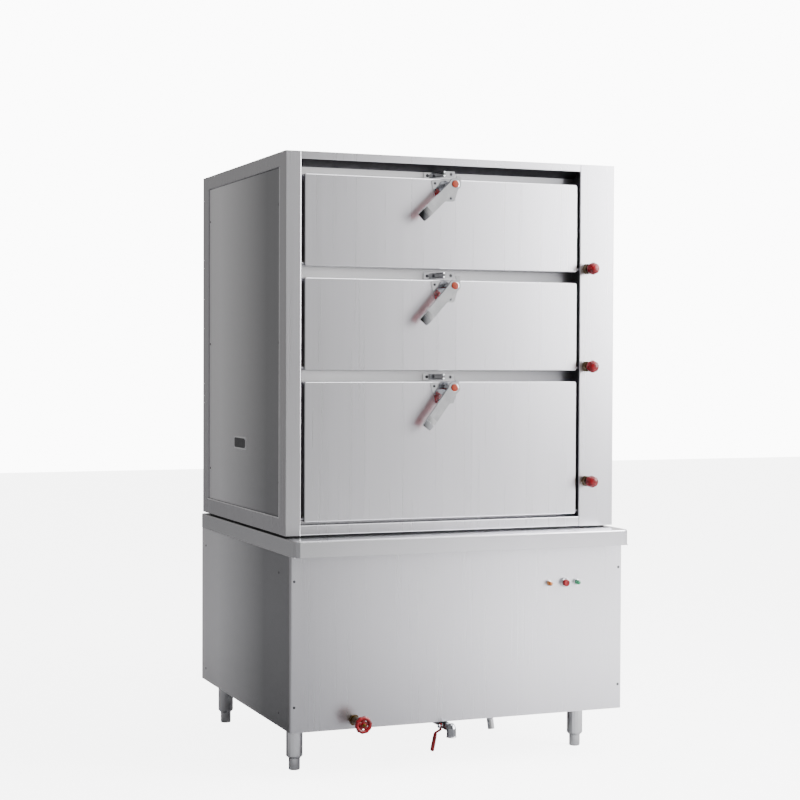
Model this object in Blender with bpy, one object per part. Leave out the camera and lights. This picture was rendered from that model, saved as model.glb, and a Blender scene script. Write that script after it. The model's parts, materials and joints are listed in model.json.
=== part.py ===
"""Steam cabinet with three drop-down doors, standing on a boiler base with a worktop.

Metres, +Z up. Depths are measured back from the front plane of the upper cabinet, and one empty carries
every piece to the frame whose origin lies on the floor under the middle of the whole object.
"""
import math

import bmesh
import bpy
from mathutils import Matrix, Quaternion, Vector

# Clearances, sheet and roundness
GAP = 0.0003
SHEET = 0.002
THIN_SHEET = 0.0015
BEND_RADIUS = 0.001
BEND_STEPS = 2
BRANCH_STEPS = 3
OVERRUN = 0.003
SEAM_STEP = 0.0004
SMOOTH_ANGLE = math.radians(35)
FINE_SIDES = 16
PIPE_SIDES = 12
ROD_SIDES = 6
CORNER_STEPS = 2

# Upper cabinet, bottom to top and left to right
BOTTOM_RAIL_HEIGHT = 0.031
SILL_GAP = 0.0085
LOWER_DOOR_HEIGHT = 0.420
MIDDLE_DOOR_HEIGHT = 0.277
UPPER_DOOR_HEIGHT = 0.275
DOOR_SPACING = 0.034
HEAD_GAP = 0.0425
TOP_RAIL_HEIGHT = 0.023
LEFT_POST_WIDTH = 0.050
RECESS_WIDTH = 0.928
VALVE_POST_WIDTH = 0.122
CABINET_DEPTH = 0.915
RECESS_DEPTH = 0.052
CEILING_DROP = 0.018
POST_DEPTH = 0.064
BACK_FLANGE = 0.040
SIDE_TOP_RAIL = 0.043
SIDE_BOTTOM_RAIL = 0.050
PANEL_RECESS = 0.005
PANEL_SEAM = 0.002
LEDGE_WIDTH = 0.012

# Doors, gasket and hinge pins
DOOR_SIDE_GAP = 0.010
DOOR_SHELL_DEPTH = 0.036
DOOR_DEPTH = 0.038
LINER_FLANGE = 0.018
DOOR_CORNER = 0.006
DOOR_EDGE = 0.003
HINGE_RISE = 0.009
HINGE_SETBACK = 0.014
HINGE_PIN_RADIUS = 0.004
HINGE_PIN_TAIL = 0.002
GASKET_INSET = 0.012
GASKET_WIDTH = 0.012
GASKET_ROUND = 0.004

# Face frame, chambers and racks
FACE_LAP = 0.010
CHAMBER_SIDE = 0.035
CHAMBER_SILL = 0.031
CHAMBER_HEAD = 0.026
CHAMBER_CORNER = 0.015
CHAMBER_BACK_ROOM = 0.030
LEDGE_RISE = 0.055
RACK_LEDGE_WIDTH = 0.018
RACK_LEDGE_HEIGHT = 0.010
RACK_END_ROOM = 0.020
RACK_SIDE_ROOM = 0.004
RACK_BAR = 0.008
RACK_ROD_RADIUS = 0.003
RACK_ROD_PITCH = 0.052

# Cam-lever latch, measured from its pivot
LATCH_RIGHT = 0.013
LATCH_DROP = 0.0185
LATCHED_DEG = 70
UPPER_REST_DEG = 44
MIDDLE_REST_DEG = 48
LOWER_REST_DEG = 53.5
LATCH_STANDOFF = 0.048
CHANNEL_DEPTH = 0.010
CHANNEL_WALL = 0.002
LEVER_LENGTH = 0.152
LEVER_HALF_WIDTH = 0.0155
LEVER_HEAD_RADIUS = 0.0185
LEVER_END_ROUND = 0.003
LEVER_TIP_RUN = 0.022
LEVER_TIP_DROP = 0.007
LATCH_PIN_RADIUS = 0.004
HUB_RADIUS = 0.009
WASHER_RADIUS = 0.011
JAW_NEAR = 0.005
JAW_THICKNESS = 0.004
BASE_THICKNESS = 0.002
BASE_TOP_HALF = 0.050
BASE_BOTTOM_HALF = 0.030
BASE_HEIGHT = 0.066
BASE_TOP_MARGIN = 0.002
BASE_CORNER = 0.008
GRIP_START = 0.024
GRIP_END_ROOM = 0.028
GRIP_PROUD = 0.002
FINGER_TIP = 0.0065
FINGER_LOW = 0.029
FINGER_HIGH = 0.038
ARM_WIDTH = 0.011
ARM_RIGHT = 0.0255
KEEPER_END = 0.013
KEEPER_LIP = 0.035
KEEPER_WEB_RUN = 0.017
KEEPER_EAR = 0.025
KEEPER_SHEET = 0.003
KEEPER_RISE = 0.005
KEEPER_HEIGHT = 0.018
KEEPER_BEND = 0.002

# Steam pipes, valves and knobs
VALVE_INSET = 0.027
RISER_OFFSET = 0.045
VALVE_DEPTH = 0.030
RISER_DEPTH = 0.120
UPPER_VALVE_RISE = 0.0105
MIDDLE_VALVE_RISE = 0.013
LOWER_VALVE_RISE = 0.1035
RISER_RADIUS = 0.0135
BRANCH_RADIUS = 0.0105
BRANCH_BEND = 0.014
VALVE_BODY_RADIUS = 0.019
BONNET_RADIUS = 0.012
NUT_RADIUS = 0.018
NUT_LENGTH = 0.020
NECK_RADIUS = 0.009
NECK_LENGTH = 0.003
STEM_RADIUS = 0.004
STEM_LENGTH = 0.020
KNOB_RADIUS = 0.0195
KNOB_LENGTH = 0.034
KNOB_LOBES = 8
KNOB_LOBE_DEPTH_SHARE = 0.035
KNOB_PROFILE_SHARES = ((0.50, 0), (0.72, 0.06), (0.93, 0.2), (1, 0.42), (0.97, 0.64), (0.8, 0.86), (0.45, 1))
STEAM_PORT_RISE = 0.030
PORT_REACH = 0.008

# Base with its worktop, bottom to top
FLOOR_CLEARANCE = 0.150
BASE_PANEL_HEIGHT = 0.5225
WORKTOP_HEIGHT = 0.0485
SEAT_HEIGHT = 0.006
BASE_SIDE_OVERHANG = 0.002
BASE_FRONT_OVERHANG = 0.060
WORKTOP_SIDE_OVERHANG = 0.003
WORKTOP_FRONT_OVERHANG = 0.106
WORKTOP_CORNER = 0.016
WORKTOP_EDGE = 0.004
WORKTOP_SEAM = 0.002
FRONT_RETURN = 0.012
FRONT_BEND = 0.002
ANGLE_WIDTH = 0.040
ANGLE_SHEET = 0.003
PLINTH_INSET = 0.020
PLINTH_WIDTH = 0.015

# Legs and levelling feet
LEG_RADIUS = 0.0255
LEG_WALL = 0.002
LEG_SIDE_INSET = 0.072
LEG_FRONT_INSET = 0.178
LEG_BACK_INSET = 0.045
FOOT_RADIUS = 0.0175
FOOT_HEIGHT = 0.035
FOOT_CHAMFER = 0.002
SHOULDER_HEIGHT = 0.008
PLUG_HEIGHT = 0.025
STUD_RADIUS = 0.006
STUD_LENGTH = 0.055

# Boiler tank, heater, float valve
TANK_SIDE_ROOM = 0.020
TANK_FRONT_ROOM = 0.090
TANK_BACK_ROOM = 0.125
BEARER_HEIGHT = 0.050
BEARER_WIDTH = 0.040
BEARER_INSET = 0.080
TANK_HEIGHT = 0.400
HEATER_X = 0.200
HEATER_RISE = 0.090
HEATER_FLANGE_RADIUS = 0.060
HEATER_HOLE_RADIUS = 0.050
HEATER_FLANGE_THICKNESS = 0.008
HEATER_TUBE_RADIUS = 0.005
HEATER_TUBE_HALF_GAP = 0.020
HEATER_TUBE_PITCH = 0.028
HEATER_LENGTH = 0.500
INLET_DROP = 0.065
FLOAT_PIN_RADIUS = 0.003
FLOAT_BLOCK = 0.012
FLOAT_BLOCK_LENGTH = 0.030
FLOAT_EYE_RADIUS = 0.007
FLOAT_EYE_LENGTH = 0.010
FLOAT_ARM_LENGTH = 0.280
FLOAT_ARM_RADIUS = 0.004
FLOAT_RADIUS = 0.045
FLOAT_REST_DEG = 20
FLOAT_RING_COUNT = 6

# Water inlet valve and handwheel, drain valve, overflow
INLET_X = -0.352
INLET_RISE = 0.027
INLET_REACH = 0.090
INLET_PIPE_DEPTH = 0.020
PIPE_BEND = 0.030
INLET_NUT_LENGTH = 0.009
INLET_NUT_RADIUS = 0.017
INLET_BODY_RADIUS = 0.013
INLET_BODY_LENGTH = 0.042
BONNET_NUT_RADIUS = 0.014
BONNET_NUT_LENGTH = 0.014
WHEEL_RADIUS = 0.027
WHEEL_RIM_WIDTH = 0.006
WHEEL_RIM_THICKNESS = 0.009
WHEEL_LOBES = 10
WHEEL_LOBE_DEPTH_SHARE = 0.06
WHEEL_HUB_RADIUS = 0.0075
WHEEL_HUB_LENGTH = 0.016
WHEEL_SPOKES = 5
WHEEL_SPOKE_WIDTH = 0.005
WHEEL_SPOKE_THICKNESS = 0.005
WHEEL_SIDES = 30
DRAIN_X = -0.050
DRAIN_DROP = 0.014
DRAIN_PIPE_DEPTH = 0.150
DRAIN_PIPE_RADIUS = 0.0105
DRAIN_BODY_RADIUS = 0.013
DRAIN_BODY_LENGTH = 0.050
DRAIN_BODY_SETBACK = 0.005
SPOUT_REACH = 0.036
SPOUT_RADIUS = 0.0145
SPOUT_DROP = 0.028
SPOUT_ROUND = 0.004
SPOUT_BORE_RADIUS = 0.010
SPOUT_BORE_DEPTH = 0.010
DRAIN_STEM_RADIUS = 0.004
DRAIN_STEM_REACH = 0.014
HANDLE_SHEET = 0.003
HANDLE_WIDTH = 0.012
HANDLE_EYE_HALF = 0.010
HANDLE_NECK_OUT = 0.016
HANDLE_NECK_DROP = 0.008
HANDLE_OUT = 0.012
HANDLE_DROP = 0.056
OVERFLOW_X = 0.108
OVERFLOW_RADIUS = 0.0105
OVERFLOW_WALL = 0.0015
OVERFLOW_FRONT_ROOM = 0.028
OVERFLOW_TILT = 0.012
OVERFLOW_DROP = 0.038
OVERFLOW_TANK_DROP = 0.085
OVERFLOW_MOUTH_DEPTH = 0.020

# Controls on the base front, from its right edge and the worktop's lower edge
CONTROL_DROP = 0.1145
AMBER_INSET = 0.258
BUTTON_INSET = 0.2035
GREEN_INSET = 0.1605
LAMP_RADIUS = 0.008
LAMP_COLLAR_RADIUS = 0.0095
LAMP_COLLAR_LENGTH = 0.004
LAMP_REACH = 0.020
LAMP_TAIL = 0.030
LAMP_DOME = 0.003
BEZEL_RADIUS = 0.0145
BEZEL_REACH = 0.012
BEZEL_EDGE = 0.002
BEZEL_TUBE_RADIUS = 0.0125
BEZEL_TAIL = 0.035
BUTTON_RADIUS = 0.0105
BUTTON_REACH = 0.020
BUTTON_TAIL = 0.020
BUTTON_EDGE = 0.0015
BOX_SIDE_ROOM = 0.040
BOX_UP = 0.050
BOX_DOWN = 0.080
BOX_DEPTH = 0.090

# Places worked out from the driving dimensions
CABINET_WIDTH = LEFT_POST_WIDTH + RECESS_WIDTH + VALVE_POST_WIDTH
DOOR_HEIGHTS = {"lower": LOWER_DOOR_HEIGHT, "middle": MIDDLE_DOOR_HEIGHT, "upper": UPPER_DOOR_HEIGHT}
REST_DEGREES = {"lower": LOWER_REST_DEG, "middle": MIDDLE_REST_DEG, "upper": UPPER_REST_DEG}
VALVE_RISES = {"lower": LOWER_VALVE_RISE, "middle": MIDDLE_VALVE_RISE, "upper": UPPER_VALVE_RISE}
HALF_CABINET = CABINET_WIDTH / 2
RECESS_LEFT = LEFT_POST_WIDTH - HALF_CABINET
RECESS_RIGHT = HALF_CABINET - VALVE_POST_WIDTH
WORKTOP_BOTTOM = FLOOR_CLEARANCE + BASE_PANEL_HEIGHT
WORKTOP_TOP = WORKTOP_BOTTOM + WORKTOP_HEIGHT
CABINET_BOTTOM = WORKTOP_TOP + SEAT_HEIGHT
RECESS_FLOOR = CABINET_BOTTOM + BOTTOM_RAIL_HEIGHT
DOOR_BOTTOMS = {"lower": RECESS_FLOOR + SILL_GAP}
DOOR_BOTTOMS["middle"] = DOOR_BOTTOMS["lower"] + LOWER_DOOR_HEIGHT + DOOR_SPACING
DOOR_BOTTOMS["upper"] = DOOR_BOTTOMS["middle"] + MIDDLE_DOOR_HEIGHT + DOOR_SPACING
RECESS_TOP = DOOR_BOTTOMS["upper"] + UPPER_DOOR_HEIGHT + HEAD_GAP
CABINET_TOP = RECESS_TOP + TOP_RAIL_HEIGHT
DOOR_LEFT = RECESS_LEFT + DOOR_SIDE_GAP
DOOR_RIGHT = RECESS_RIGHT - DOOR_SIDE_GAP
DOOR_MIDDLE = (DOOR_LEFT + DOOR_RIGHT) / 2
BACK_POST_FRONT = CABINET_DEPTH - POST_DEPTH
LEDGE_X = HALF_CABINET - PANEL_RECESS - SHEET - GAP
FACE_FRONT = RECESS_DEPTH + GAP
CHAMBER_FRONT = FACE_FRONT + SHEET + GAP
CHAMBER_BACK = CABINET_DEPTH - CHAMBER_BACK_ROOM
CHAMBER_LEFT = DOOR_LEFT + CHAMBER_SIDE
CHAMBER_RIGHT = DOOR_RIGHT - CHAMBER_SIDE
HALF_BASE = HALF_CABINET + BASE_SIDE_OVERHANG
BASE_FRONT = -BASE_FRONT_OVERHANG
PANEL_INNER = BASE_FRONT + SHEET + GAP
FLOOR_UNDER = FLOOR_CLEARANCE + GAP
FLOOR_TOP = FLOOR_UNDER + SHEET
PANEL_TOP = WORKTOP_BOTTOM - WORKTOP_SEAM
TANK_HALF = HALF_BASE - SHEET - TANK_SIDE_ROOM
TANK_FRONT = TANK_FRONT_ROOM
TANK_BACK = CABINET_DEPTH - TANK_BACK_ROOM
TANK_BOTTOM = FLOOR_TOP + GAP + BEARER_HEIGHT
TANK_TOP = TANK_BOTTOM + TANK_HEIGHT
VALVE_X = RECESS_RIGHT + VALVE_INSET
RISER_X = VALVE_X + RISER_OFFSET
INLET_Z = FLOOR_CLEARANCE + INLET_RISE
INLET_HIGH = TANK_TOP - INLET_DROP
INLET_FRONT = BASE_FRONT - INLET_REACH
DRAIN_Z = FLOOR_CLEARANCE - DRAIN_DROP
DRAIN_Y = BASE_FRONT + DRAIN_BODY_SETBACK
OVERFLOW_Y = PANEL_INNER + OVERFLOW_FRONT_ROOM
OVERFLOW_HIGH = TANK_TOP - OVERFLOW_TANK_DROP
CONTROL_Z = WORKTOP_BOTTOM - CONTROL_DROP
BUTTON_X = HALF_BASE - BUTTON_INSET
STEM_HOLE_END = INLET_FRONT + SHEET
ORIGIN_SHIFT = -(CABINET_DEPTH + INLET_FRONT) / 2
FLOAT_PIVOT = Vector((INLET_X + FLOAT_BLOCK, TANK_FRONT + SHEET + FLOAT_BLOCK_LENGTH, INLET_HIGH))

FINISHES = {
    "brushed steel": ((0.62, 0.62, 0.63), 1, 0.32),
    "polished chrome": ((0.80, 0.80, 0.82), 1, 0.08),
    "galvanised steel": ((0.45, 0.46, 0.47), 1, 0.5),
    "brass": ((0.62, 0.42, 0.17), 1, 0.3),
    "red plastic": ((0.55, 0.01, 0.02), 0, 0.3),
    "silicone rubber": ((0.55, 0.54, 0.50), 0, 0.7),
    "black plastic": ((0.02, 0.02, 0.02), 0, 0.45),
    "amber lens": ((0.75, 0.24, 0.03), 0, 0.15),
    "green lens": ((0.02, 0.42, 0.16), 0, 0.15),
}


def loft(rings, closed=False):
    """A skin over rings of equal length, capped at its ends unless the rings close on themselves."""
    shape = bmesh.new()
    rows = [[shape.verts.new(point) for point in ring] for ring in rings]
    pairs = list(zip(rows, rows[1:]))
    if closed:
        pairs.append((rows[-1], rows[0]))
    else:
        shape.faces.new(rows[0])
        shape.faces.new(rows[-1])
    for low, high in pairs:
        for place, corner in enumerate(low):
            following = (place + 1) % len(low)
            shape.faces.new((corner, low[following], high[following], high[place]))
    bmesh.ops.recalc_face_normals(shape, faces=shape.faces[:])
    mesh = bpy.data.meshes.new("shape")
    shape.to_mesh(mesh)
    shape.free()
    return mesh


def placed(axis, along, first, second):
    """A point from its place along an axis and its two other coordinates, in X, Y, Z order."""
    return {"X": (along, first, second), "Y": (first, along, second), "Z": (first, second, along)}[axis]


def prism(outline, axis, start, end):
    """An outline in the plane across an axis, extruded from start to end."""
    return loft([[placed(axis, along, *point) for point in outline] for along in (start, end)])


def box(low, high):
    outline = [(low[0], low[1]), (high[0], low[1]), (high[0], high[1]), (low[0], high[1])]
    return prism(outline, "Z", low[2], high[2])


def folded(line, thickness, hand, bend=BEND_RADIUS):
    """Outline of a sheet bent along a line. The sheet lies to the line's right when hand is 1."""
    corners = [Vector(point) for point in line]
    near = []
    far = []
    for place, corner in enumerate(corners):
        before = (corner - corners[place - 1]).normalized() if place else None
        after = (corners[place + 1] - corner).normalized() if place < len(corners) - 1 else None
        if before is None or after is None:
            along = after or before
            near.append(corner)
            far.append(corner + hand * thickness * Vector((along.y, -along.x)))
            continue
        turn = math.atan2(before.x * after.y - before.y * after.x, before.dot(after))
        outer = turn * hand < 0
        near_radius = bend + thickness if outer else bend
        far_radius = bend if outer else bend + thickness
        inward = math.copysign(1, turn) * Vector((-before.y, before.x))
        centre = corner + near_radius * (inward - before * math.tan(abs(turn) / 2))
        for step in range(BEND_STEPS + 1):
            spoke = Matrix.Rotation(turn * step / BEND_STEPS, 2) @ -inward
            near.append(centre + near_radius * spoke)
            far.append(centre + far_radius * spoke)
    return [tuple(point) for point in near + far[::-1]]


def rounded(points, radii, steps=CORNER_STEPS):
    """A closed outline with an arc at each corner, of one radius per corner."""
    corners = [Vector(point) for point in points]
    outline = []
    for place, (corner, radius) in enumerate(zip(corners, radii)):
        before = (corner - corners[place - 1]).normalized()
        after = (corners[(place + 1) % len(corners)] - corner).normalized()
        turn = math.atan2(before.x * after.y - before.y * after.x, before.dot(after))
        inward = math.copysign(1, turn) * Vector((-before.y, before.x))
        centre = corner + radius * (inward - before * math.tan(abs(turn) / 2))
        for step in range(steps + 1):
            outline.append(tuple(centre + radius * (Matrix.Rotation(turn * step / steps, 2) @ -inward)))
    return outline


def rectangle(left, right, low, high, inset=0, radius=0, far_radius=None):
    """A rounded rectangle, drawn in by an inset that also tightens its corners. The far two may differ."""
    near = max(radius - inset, GAP)
    far = near if far_radius is None else max(far_radius - inset, GAP)
    corners = [(left + inset, low + inset), (right - inset, low + inset),
               (right - inset, high - inset), (left + inset, high - inset)]
    return rounded(corners, (near, near, far, far))


def pan(left, right, low, high, face, rim, wall, corner, edge):
    """A folded tray: a face with rounded edges, its flanges running to an open rim."""
    toward = math.copysign(1, rim - face)
    levels = []
    for step in range(BEND_STEPS + 1):
        angle = math.radians(90) * step / BEND_STEPS
        levels.append((face + toward * edge * (1 - math.cos(angle)), edge * (1 - math.sin(angle))))
    levels += [(rim, 0), (rim, wall), (face + toward * wall, wall)]
    return loft([[(x, y, z) for x, z in rectangle(left, right, low, high, inset, corner)]
                 for y, inset in levels])


def circle(radius, sides, lobes=0, depth_share=0):
    """A round or lobed outline about the axis it is extruded along."""
    points = []
    for side in range(sides):
        angle = math.radians(360) * side / sides
        reach = radius * (1 + depth_share * (math.cos(lobes * angle) - 1))
        points.append((reach * math.cos(angle), reach * math.sin(angle)))
    return points


def turned(profile, axis, centre, sides, closed=False, lobes=0, depth_share=0):
    """A shape turned about an axis through a centre. The profile holds (radius, place along the axis)."""
    rings = []
    for radius, along in profile:
        ring = circle(radius, sides, lobes, depth_share)
        rings.append([Vector(centre) + Vector(placed(axis, along, *point)) for point in ring])
    return loft(rings, closed)


def hole_radius(radius, sides):
    """Radius of a bore whose flats clear a round piece of the given radius."""
    return (radius + GAP) / math.cos(math.radians(180) / sides)


def bent_path(points, bend):
    """A path with its corners rounded, each by no more than its shorter leg allows."""
    corners = [Vector(point) for point in points]
    path = [corners[0]]
    for before, corner, after in zip(corners, corners[1:], corners[2:]):
        entering = corner - before
        leaving = after - corner
        turn = entering.angle(leaving)
        radius = min(bend, min(entering.length, leaving.length) / 2 / math.tan(turn / 2))
        start = corner - entering.normalized() * radius * math.tan(turn / 2)
        spin = entering.cross(leaving).normalized()
        centre = start + spin.cross(entering.normalized()) * radius
        steps = max(2, round(turn / math.radians(90) * BRANCH_STEPS))
        for step in range(steps + 1):
            path.append(centre + Quaternion(spin, turn * step / steps) @ (start - centre))
    path.append(corners[-1])
    return path


def tube(points, radius, bend=PIPE_BEND, sides=PIPE_SIDES):
    """A solid round bar along a path with rounded corners."""
    path = bent_path(points, bend)
    heading = (path[1] - path[0]).normalized()
    across = heading.orthogonal().normalized()
    rings = []
    for place, point in enumerate(path):
        ahead = path[min(place + 1, len(path) - 1)] - path[max(place - 1, 0)]
        turn = heading.rotation_difference(ahead.normalized())
        across = turn @ across
        heading = ahead.normalized()
        up = heading.cross(across)
        rings.append([point + first * across + second * up for first, second in circle(radius, sides)])
    return loft(rings)


def combine(host_mesh, tool_meshes, operation):
    """The host shape joined with, cut by or cut down to each tool in turn."""
    host = bpy.data.objects.new("host", host_mesh)
    bpy.context.scene.collection.objects.link(host)
    tools = []
    for tool_mesh in tool_meshes:
        tool = bpy.data.objects.new("tool", tool_mesh)
        bpy.context.scene.collection.objects.link(tool)
        modifier = host.modifiers.new("shape", "BOOLEAN")
        modifier.operation = operation
        modifier.solver = "EXACT"
        modifier.object = tool
        tools.append(tool)
    graph = bpy.context.evaluated_depsgraph_get()
    mesh = bpy.data.meshes.new_from_object(host.evaluated_get(graph))
    for used in [host] + tools:
        bpy.data.objects.remove(used)
    return mesh


def joined(*meshes):
    return combine(meshes[0], meshes[1:], "UNION")


def cut(mesh, *tools):
    return combine(mesh, tools, "DIFFERENCE")


def moved(mesh, matrix):
    mesh.transform(matrix)
    return mesh


def finish(name, kind):
    """A metal or plastic surface for one piece."""
    colour, metallic, roughness = FINISHES[kind]
    material = bpy.data.materials.new(name)
    material.use_nodes = True
    shader = material.node_tree.nodes["Principled BSDF"]
    shader.inputs["Base Color"].default_value = (*colour, 1)
    shader.inputs["Metallic"].default_value = metallic
    shader.inputs["Roughness"].default_value = roughness
    return material


def piece(name, mesh, kind, pivot=(0, 0, 0)):
    """One named piece, with its origin on its pivot and carried by the frame's empty."""
    mesh.name = name
    mesh.transform(Matrix.Translation(-Vector(pivot)))
    mesh.materials.clear()
    mesh.materials.append(finish(name, kind))
    mesh.shade_smooth()
    mesh.set_sharp_from_angle(angle=SMOOTH_ANGLE)
    item = bpy.data.objects.new(name, mesh)
    bpy.context.scene.collection.objects.link(item)
    item.parent = bpy.data.objects["cabinet_origin"]
    item.location = pivot
    return item


def cabinet_frame():
    """Welded skeleton of folded posts and rails, with the roof on top and the recess round the doors."""
    roof_under = CABINET_TOP - SHEET
    post_top = CABINET_TOP - SHEET / 2
    rail_low = CABINET_BOTTOM + SEAM_STEP
    rail_back = RECESS_DEPTH - SEAM_STEP
    members = []
    for side, inner in ((-1, RECESS_LEFT), (1, RECESS_RIGHT)):
        outer = side * HALF_CABINET
        ledge = side * LEDGE_X
        front = [(inner, RECESS_DEPTH), (inner, 0), (outer, 0), (outer, POST_DEPTH), (ledge, POST_DEPTH),
                 (ledge, POST_DEPTH + LEDGE_WIDTH)]
        back = [(ledge, BACK_POST_FRONT - LEDGE_WIDTH), (ledge, BACK_POST_FRONT), (outer, BACK_POST_FRONT),
                (outer, CABINET_DEPTH), (side * (HALF_CABINET - BACK_FLANGE), CABINET_DEPTH)]
        for line in (front, back):
            members.append(prism(folded(line, SHEET, -side), "Z", CABINET_BOTTOM, post_top))
        rail_x = outer - side * SEAM_STEP
        rail_ledge = ledge - side * SEAM_STEP
        for start, toward, height in ((rail_low, 1, SIDE_BOTTOM_RAIL), (post_top, -1, SIDE_TOP_RAIL)):
            turn = start + toward * height
            line = [(rail_x, start), (rail_x, turn), (rail_ledge, turn), (rail_ledge, turn + toward * LEDGE_WIDTH)]
            outline = folded(line, SHEET, -side * toward)
            members.append(prism(outline, "Y", POST_DEPTH - 2 * SHEET, BACK_POST_FRONT + 2 * SHEET))
    roof = box((GAP - HALF_CABINET, GAP, roof_under), (HALF_CABINET - GAP, CABINET_DEPTH - GAP, CABINET_TOP))
    ceiling = [(rail_back, RECESS_TOP - CEILING_DROP), (SEAM_STEP, RECESS_TOP), (SEAM_STEP, post_top)]
    sill = [(POST_DEPTH, rail_low), (SEAM_STEP, rail_low), (SEAM_STEP, RECESS_FLOOR), (rail_back, RECESS_FLOOR)]
    for line in (ceiling, sill):
        members.append(prism(folded(line, SHEET, 1), "X", RECESS_LEFT - SHEET / 2, RECESS_RIGHT + SHEET / 2))
    tail = CABINET_DEPTH - SEAM_STEP
    foot = [(tail, rail_low + SIDE_BOTTOM_RAIL), (tail, rail_low), (BACK_POST_FRONT, rail_low)]
    head = [(tail, post_top), (tail, CABINET_TOP - SIDE_TOP_RAIL)]
    flange_end = HALF_CABINET - BACK_FLANGE + SHEET
    members.append(prism(folded(foot, SHEET, 1), "X", -flange_end, flange_end))
    members.append(prism(folded(head, SHEET, 1), "X", -flange_end, flange_end))
    frame = joined(roof, *members)
    holes = []
    pin_hole = hole_radius(HINGE_PIN_RADIUS, PIPE_SIDES)
    bonnet_hole = hole_radius(BONNET_RADIUS, PIPE_SIDES)
    for level, bottom in DOOR_BOTTOMS.items():
        across = [(pin_hole, RECESS_LEFT - SHEET - OVERRUN), (pin_hole, RECESS_RIGHT + SHEET + OVERRUN)]
        holes.append(turned(across, "X", (0, HINGE_SETBACK, bottom + HINGE_RISE), PIPE_SIDES))
        through = [(bonnet_hole, -OVERRUN), (bonnet_hole, SHEET + OVERRUN)]
        holes.append(turned(through, "Y", (VALVE_X, 0, bottom + VALVE_RISES[level]), PIPE_SIDES))
    piece("cabinet_frame", cut(frame, *holes), "brushed steel")


def cabinet_panels():
    """Side panels set into the frame's sides, and the back panel behind its flanges."""
    low = CABINET_BOTTOM + SIDE_BOTTOM_RAIL + PANEL_SEAM
    high = CABINET_TOP - SIDE_TOP_RAIL - PANEL_SEAM
    inner = LEDGE_X + GAP
    for side, name in ((-1, "left_side_panel"), (1, "right_side_panel")):
        left, right = sorted((side * inner, side * (inner + SHEET)))
        panel = box((left, POST_DEPTH + PANEL_SEAM, low), (right, BACK_POST_FRONT - PANEL_SEAM, high))
        piece(name, panel, "brushed steel")
    back = CABINET_DEPTH - SHEET - SEAM_STEP - GAP
    half = HALF_CABINET - SHEET - BEND_RADIUS - PANEL_SEAM
    panel = box((-half, back - SHEET, CABINET_BOTTOM + SHEET + PANEL_SEAM),
                (half, back, CABINET_TOP - SHEET - PANEL_SEAM))
    piece("cabinet_back_panel", panel, "brushed steel")


def face_frame():
    """Sheet round the three chamber mouths, behind the posts' returns."""
    low = RECESS_FLOOR - FACE_LAP
    high = RECESS_TOP - CEILING_DROP + FACE_LAP
    sheet = box((RECESS_LEFT - FACE_LAP, FACE_FRONT, low), (RECESS_RIGHT + FACE_LAP, FACE_FRONT + SHEET, high))
    mouths = []
    for level, bottom in DOOR_BOTTOMS.items():
        mouth = rectangle(CHAMBER_LEFT, CHAMBER_RIGHT, bottom + CHAMBER_SILL,
                          bottom + DOOR_HEIGHTS[level] - CHAMBER_HEAD, 0, CHAMBER_CORNER)
        mouths.append(prism(mouth, "Y", FACE_FRONT - OVERRUN, FACE_FRONT + SHEET + OVERRUN))
    piece("face_frame", cut(sheet, *mouths), "brushed steel")


def chamber(level):
    """Open-fronted inner box with its rack ledges and the hole for its steam branch."""
    low = DOOR_BOTTOMS[level] + CHAMBER_SILL
    high = DOOR_BOTTOMS[level] + DOOR_HEIGHTS[level] - CHAMBER_HEAD
    rings = []
    for y, spread in ((CHAMBER_BACK - THIN_SHEET, 0), (CHAMBER_FRONT, 0), (CHAMBER_FRONT, THIN_SHEET),
                      (CHAMBER_BACK, THIN_SHEET)):
        outline = rectangle(CHAMBER_LEFT - spread, CHAMBER_RIGHT + spread, low - spread, high + spread, 0,
                            CHAMBER_CORNER + spread)
        rings.append([(x, y, z) for x, z in outline])
    shell = loft(rings)
    ledge_z = low + LEDGE_RISE
    ledges = []
    for wall, inward in ((CHAMBER_LEFT, 1), (CHAMBER_RIGHT, -1)):
        left, right = sorted((wall - inward * THIN_SHEET / 2, wall + inward * RACK_LEDGE_WIDTH))
        ledges.append(box((left, CHAMBER_FRONT + RACK_END_ROOM, ledge_z - RACK_LEDGE_HEIGHT),
                          (right, CHAMBER_BACK - RACK_END_ROOM, ledge_z)))
    port_hole = hole_radius(BRANCH_RADIUS, PIPE_SIDES)
    port = turned([(port_hole, CHAMBER_RIGHT - OVERRUN), (port_hole, CHAMBER_RIGHT + THIN_SHEET + OVERRUN)], "X",
                  (0, RISER_DEPTH, low + STEAM_PORT_RISE), PIPE_SIDES)
    piece(level + "_chamber", cut(joined(shell, *ledges), port), "brushed steel")


def rack(level):
    """Wire rack on the chamber's ledges: a frame of square bar under a row of rods."""
    low = DOOR_BOTTOMS[level] + CHAMBER_SILL + LEDGE_RISE + GAP
    left = CHAMBER_LEFT + RACK_SIDE_ROOM
    right = CHAMBER_RIGHT - RACK_SIDE_ROOM
    front = CHAMBER_FRONT + RACK_END_ROOM
    back = CHAMBER_BACK - RACK_END_ROOM
    outer = rectangle(left, right, front, back, 0, RACK_BAR)
    inner = rectangle(left, right, front, back, RACK_BAR, RACK_BAR)
    frame = loft([[(x, y, z) for x, y in outline] for outline, z in (
        (inner, low), (outer, low), (outer, low + RACK_BAR), (inner, low + RACK_BAR))], closed=True)
    count = int((right - left) / RACK_ROD_PITCH)
    pitch = (right - left) / count
    rods = []
    for place in range(1, count):
        centre = (left + place * pitch, 0, low + RACK_BAR / 2)
        ends = [(RACK_ROD_RADIUS, front + RACK_BAR / 2), (RACK_ROD_RADIUS, back - RACK_BAR / 2)]
        rods.append(turned(ends, "Y", centre, ROD_SIDES))
    piece(level + "_rack", joined(frame, *rods), "polished chrome")


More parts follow.
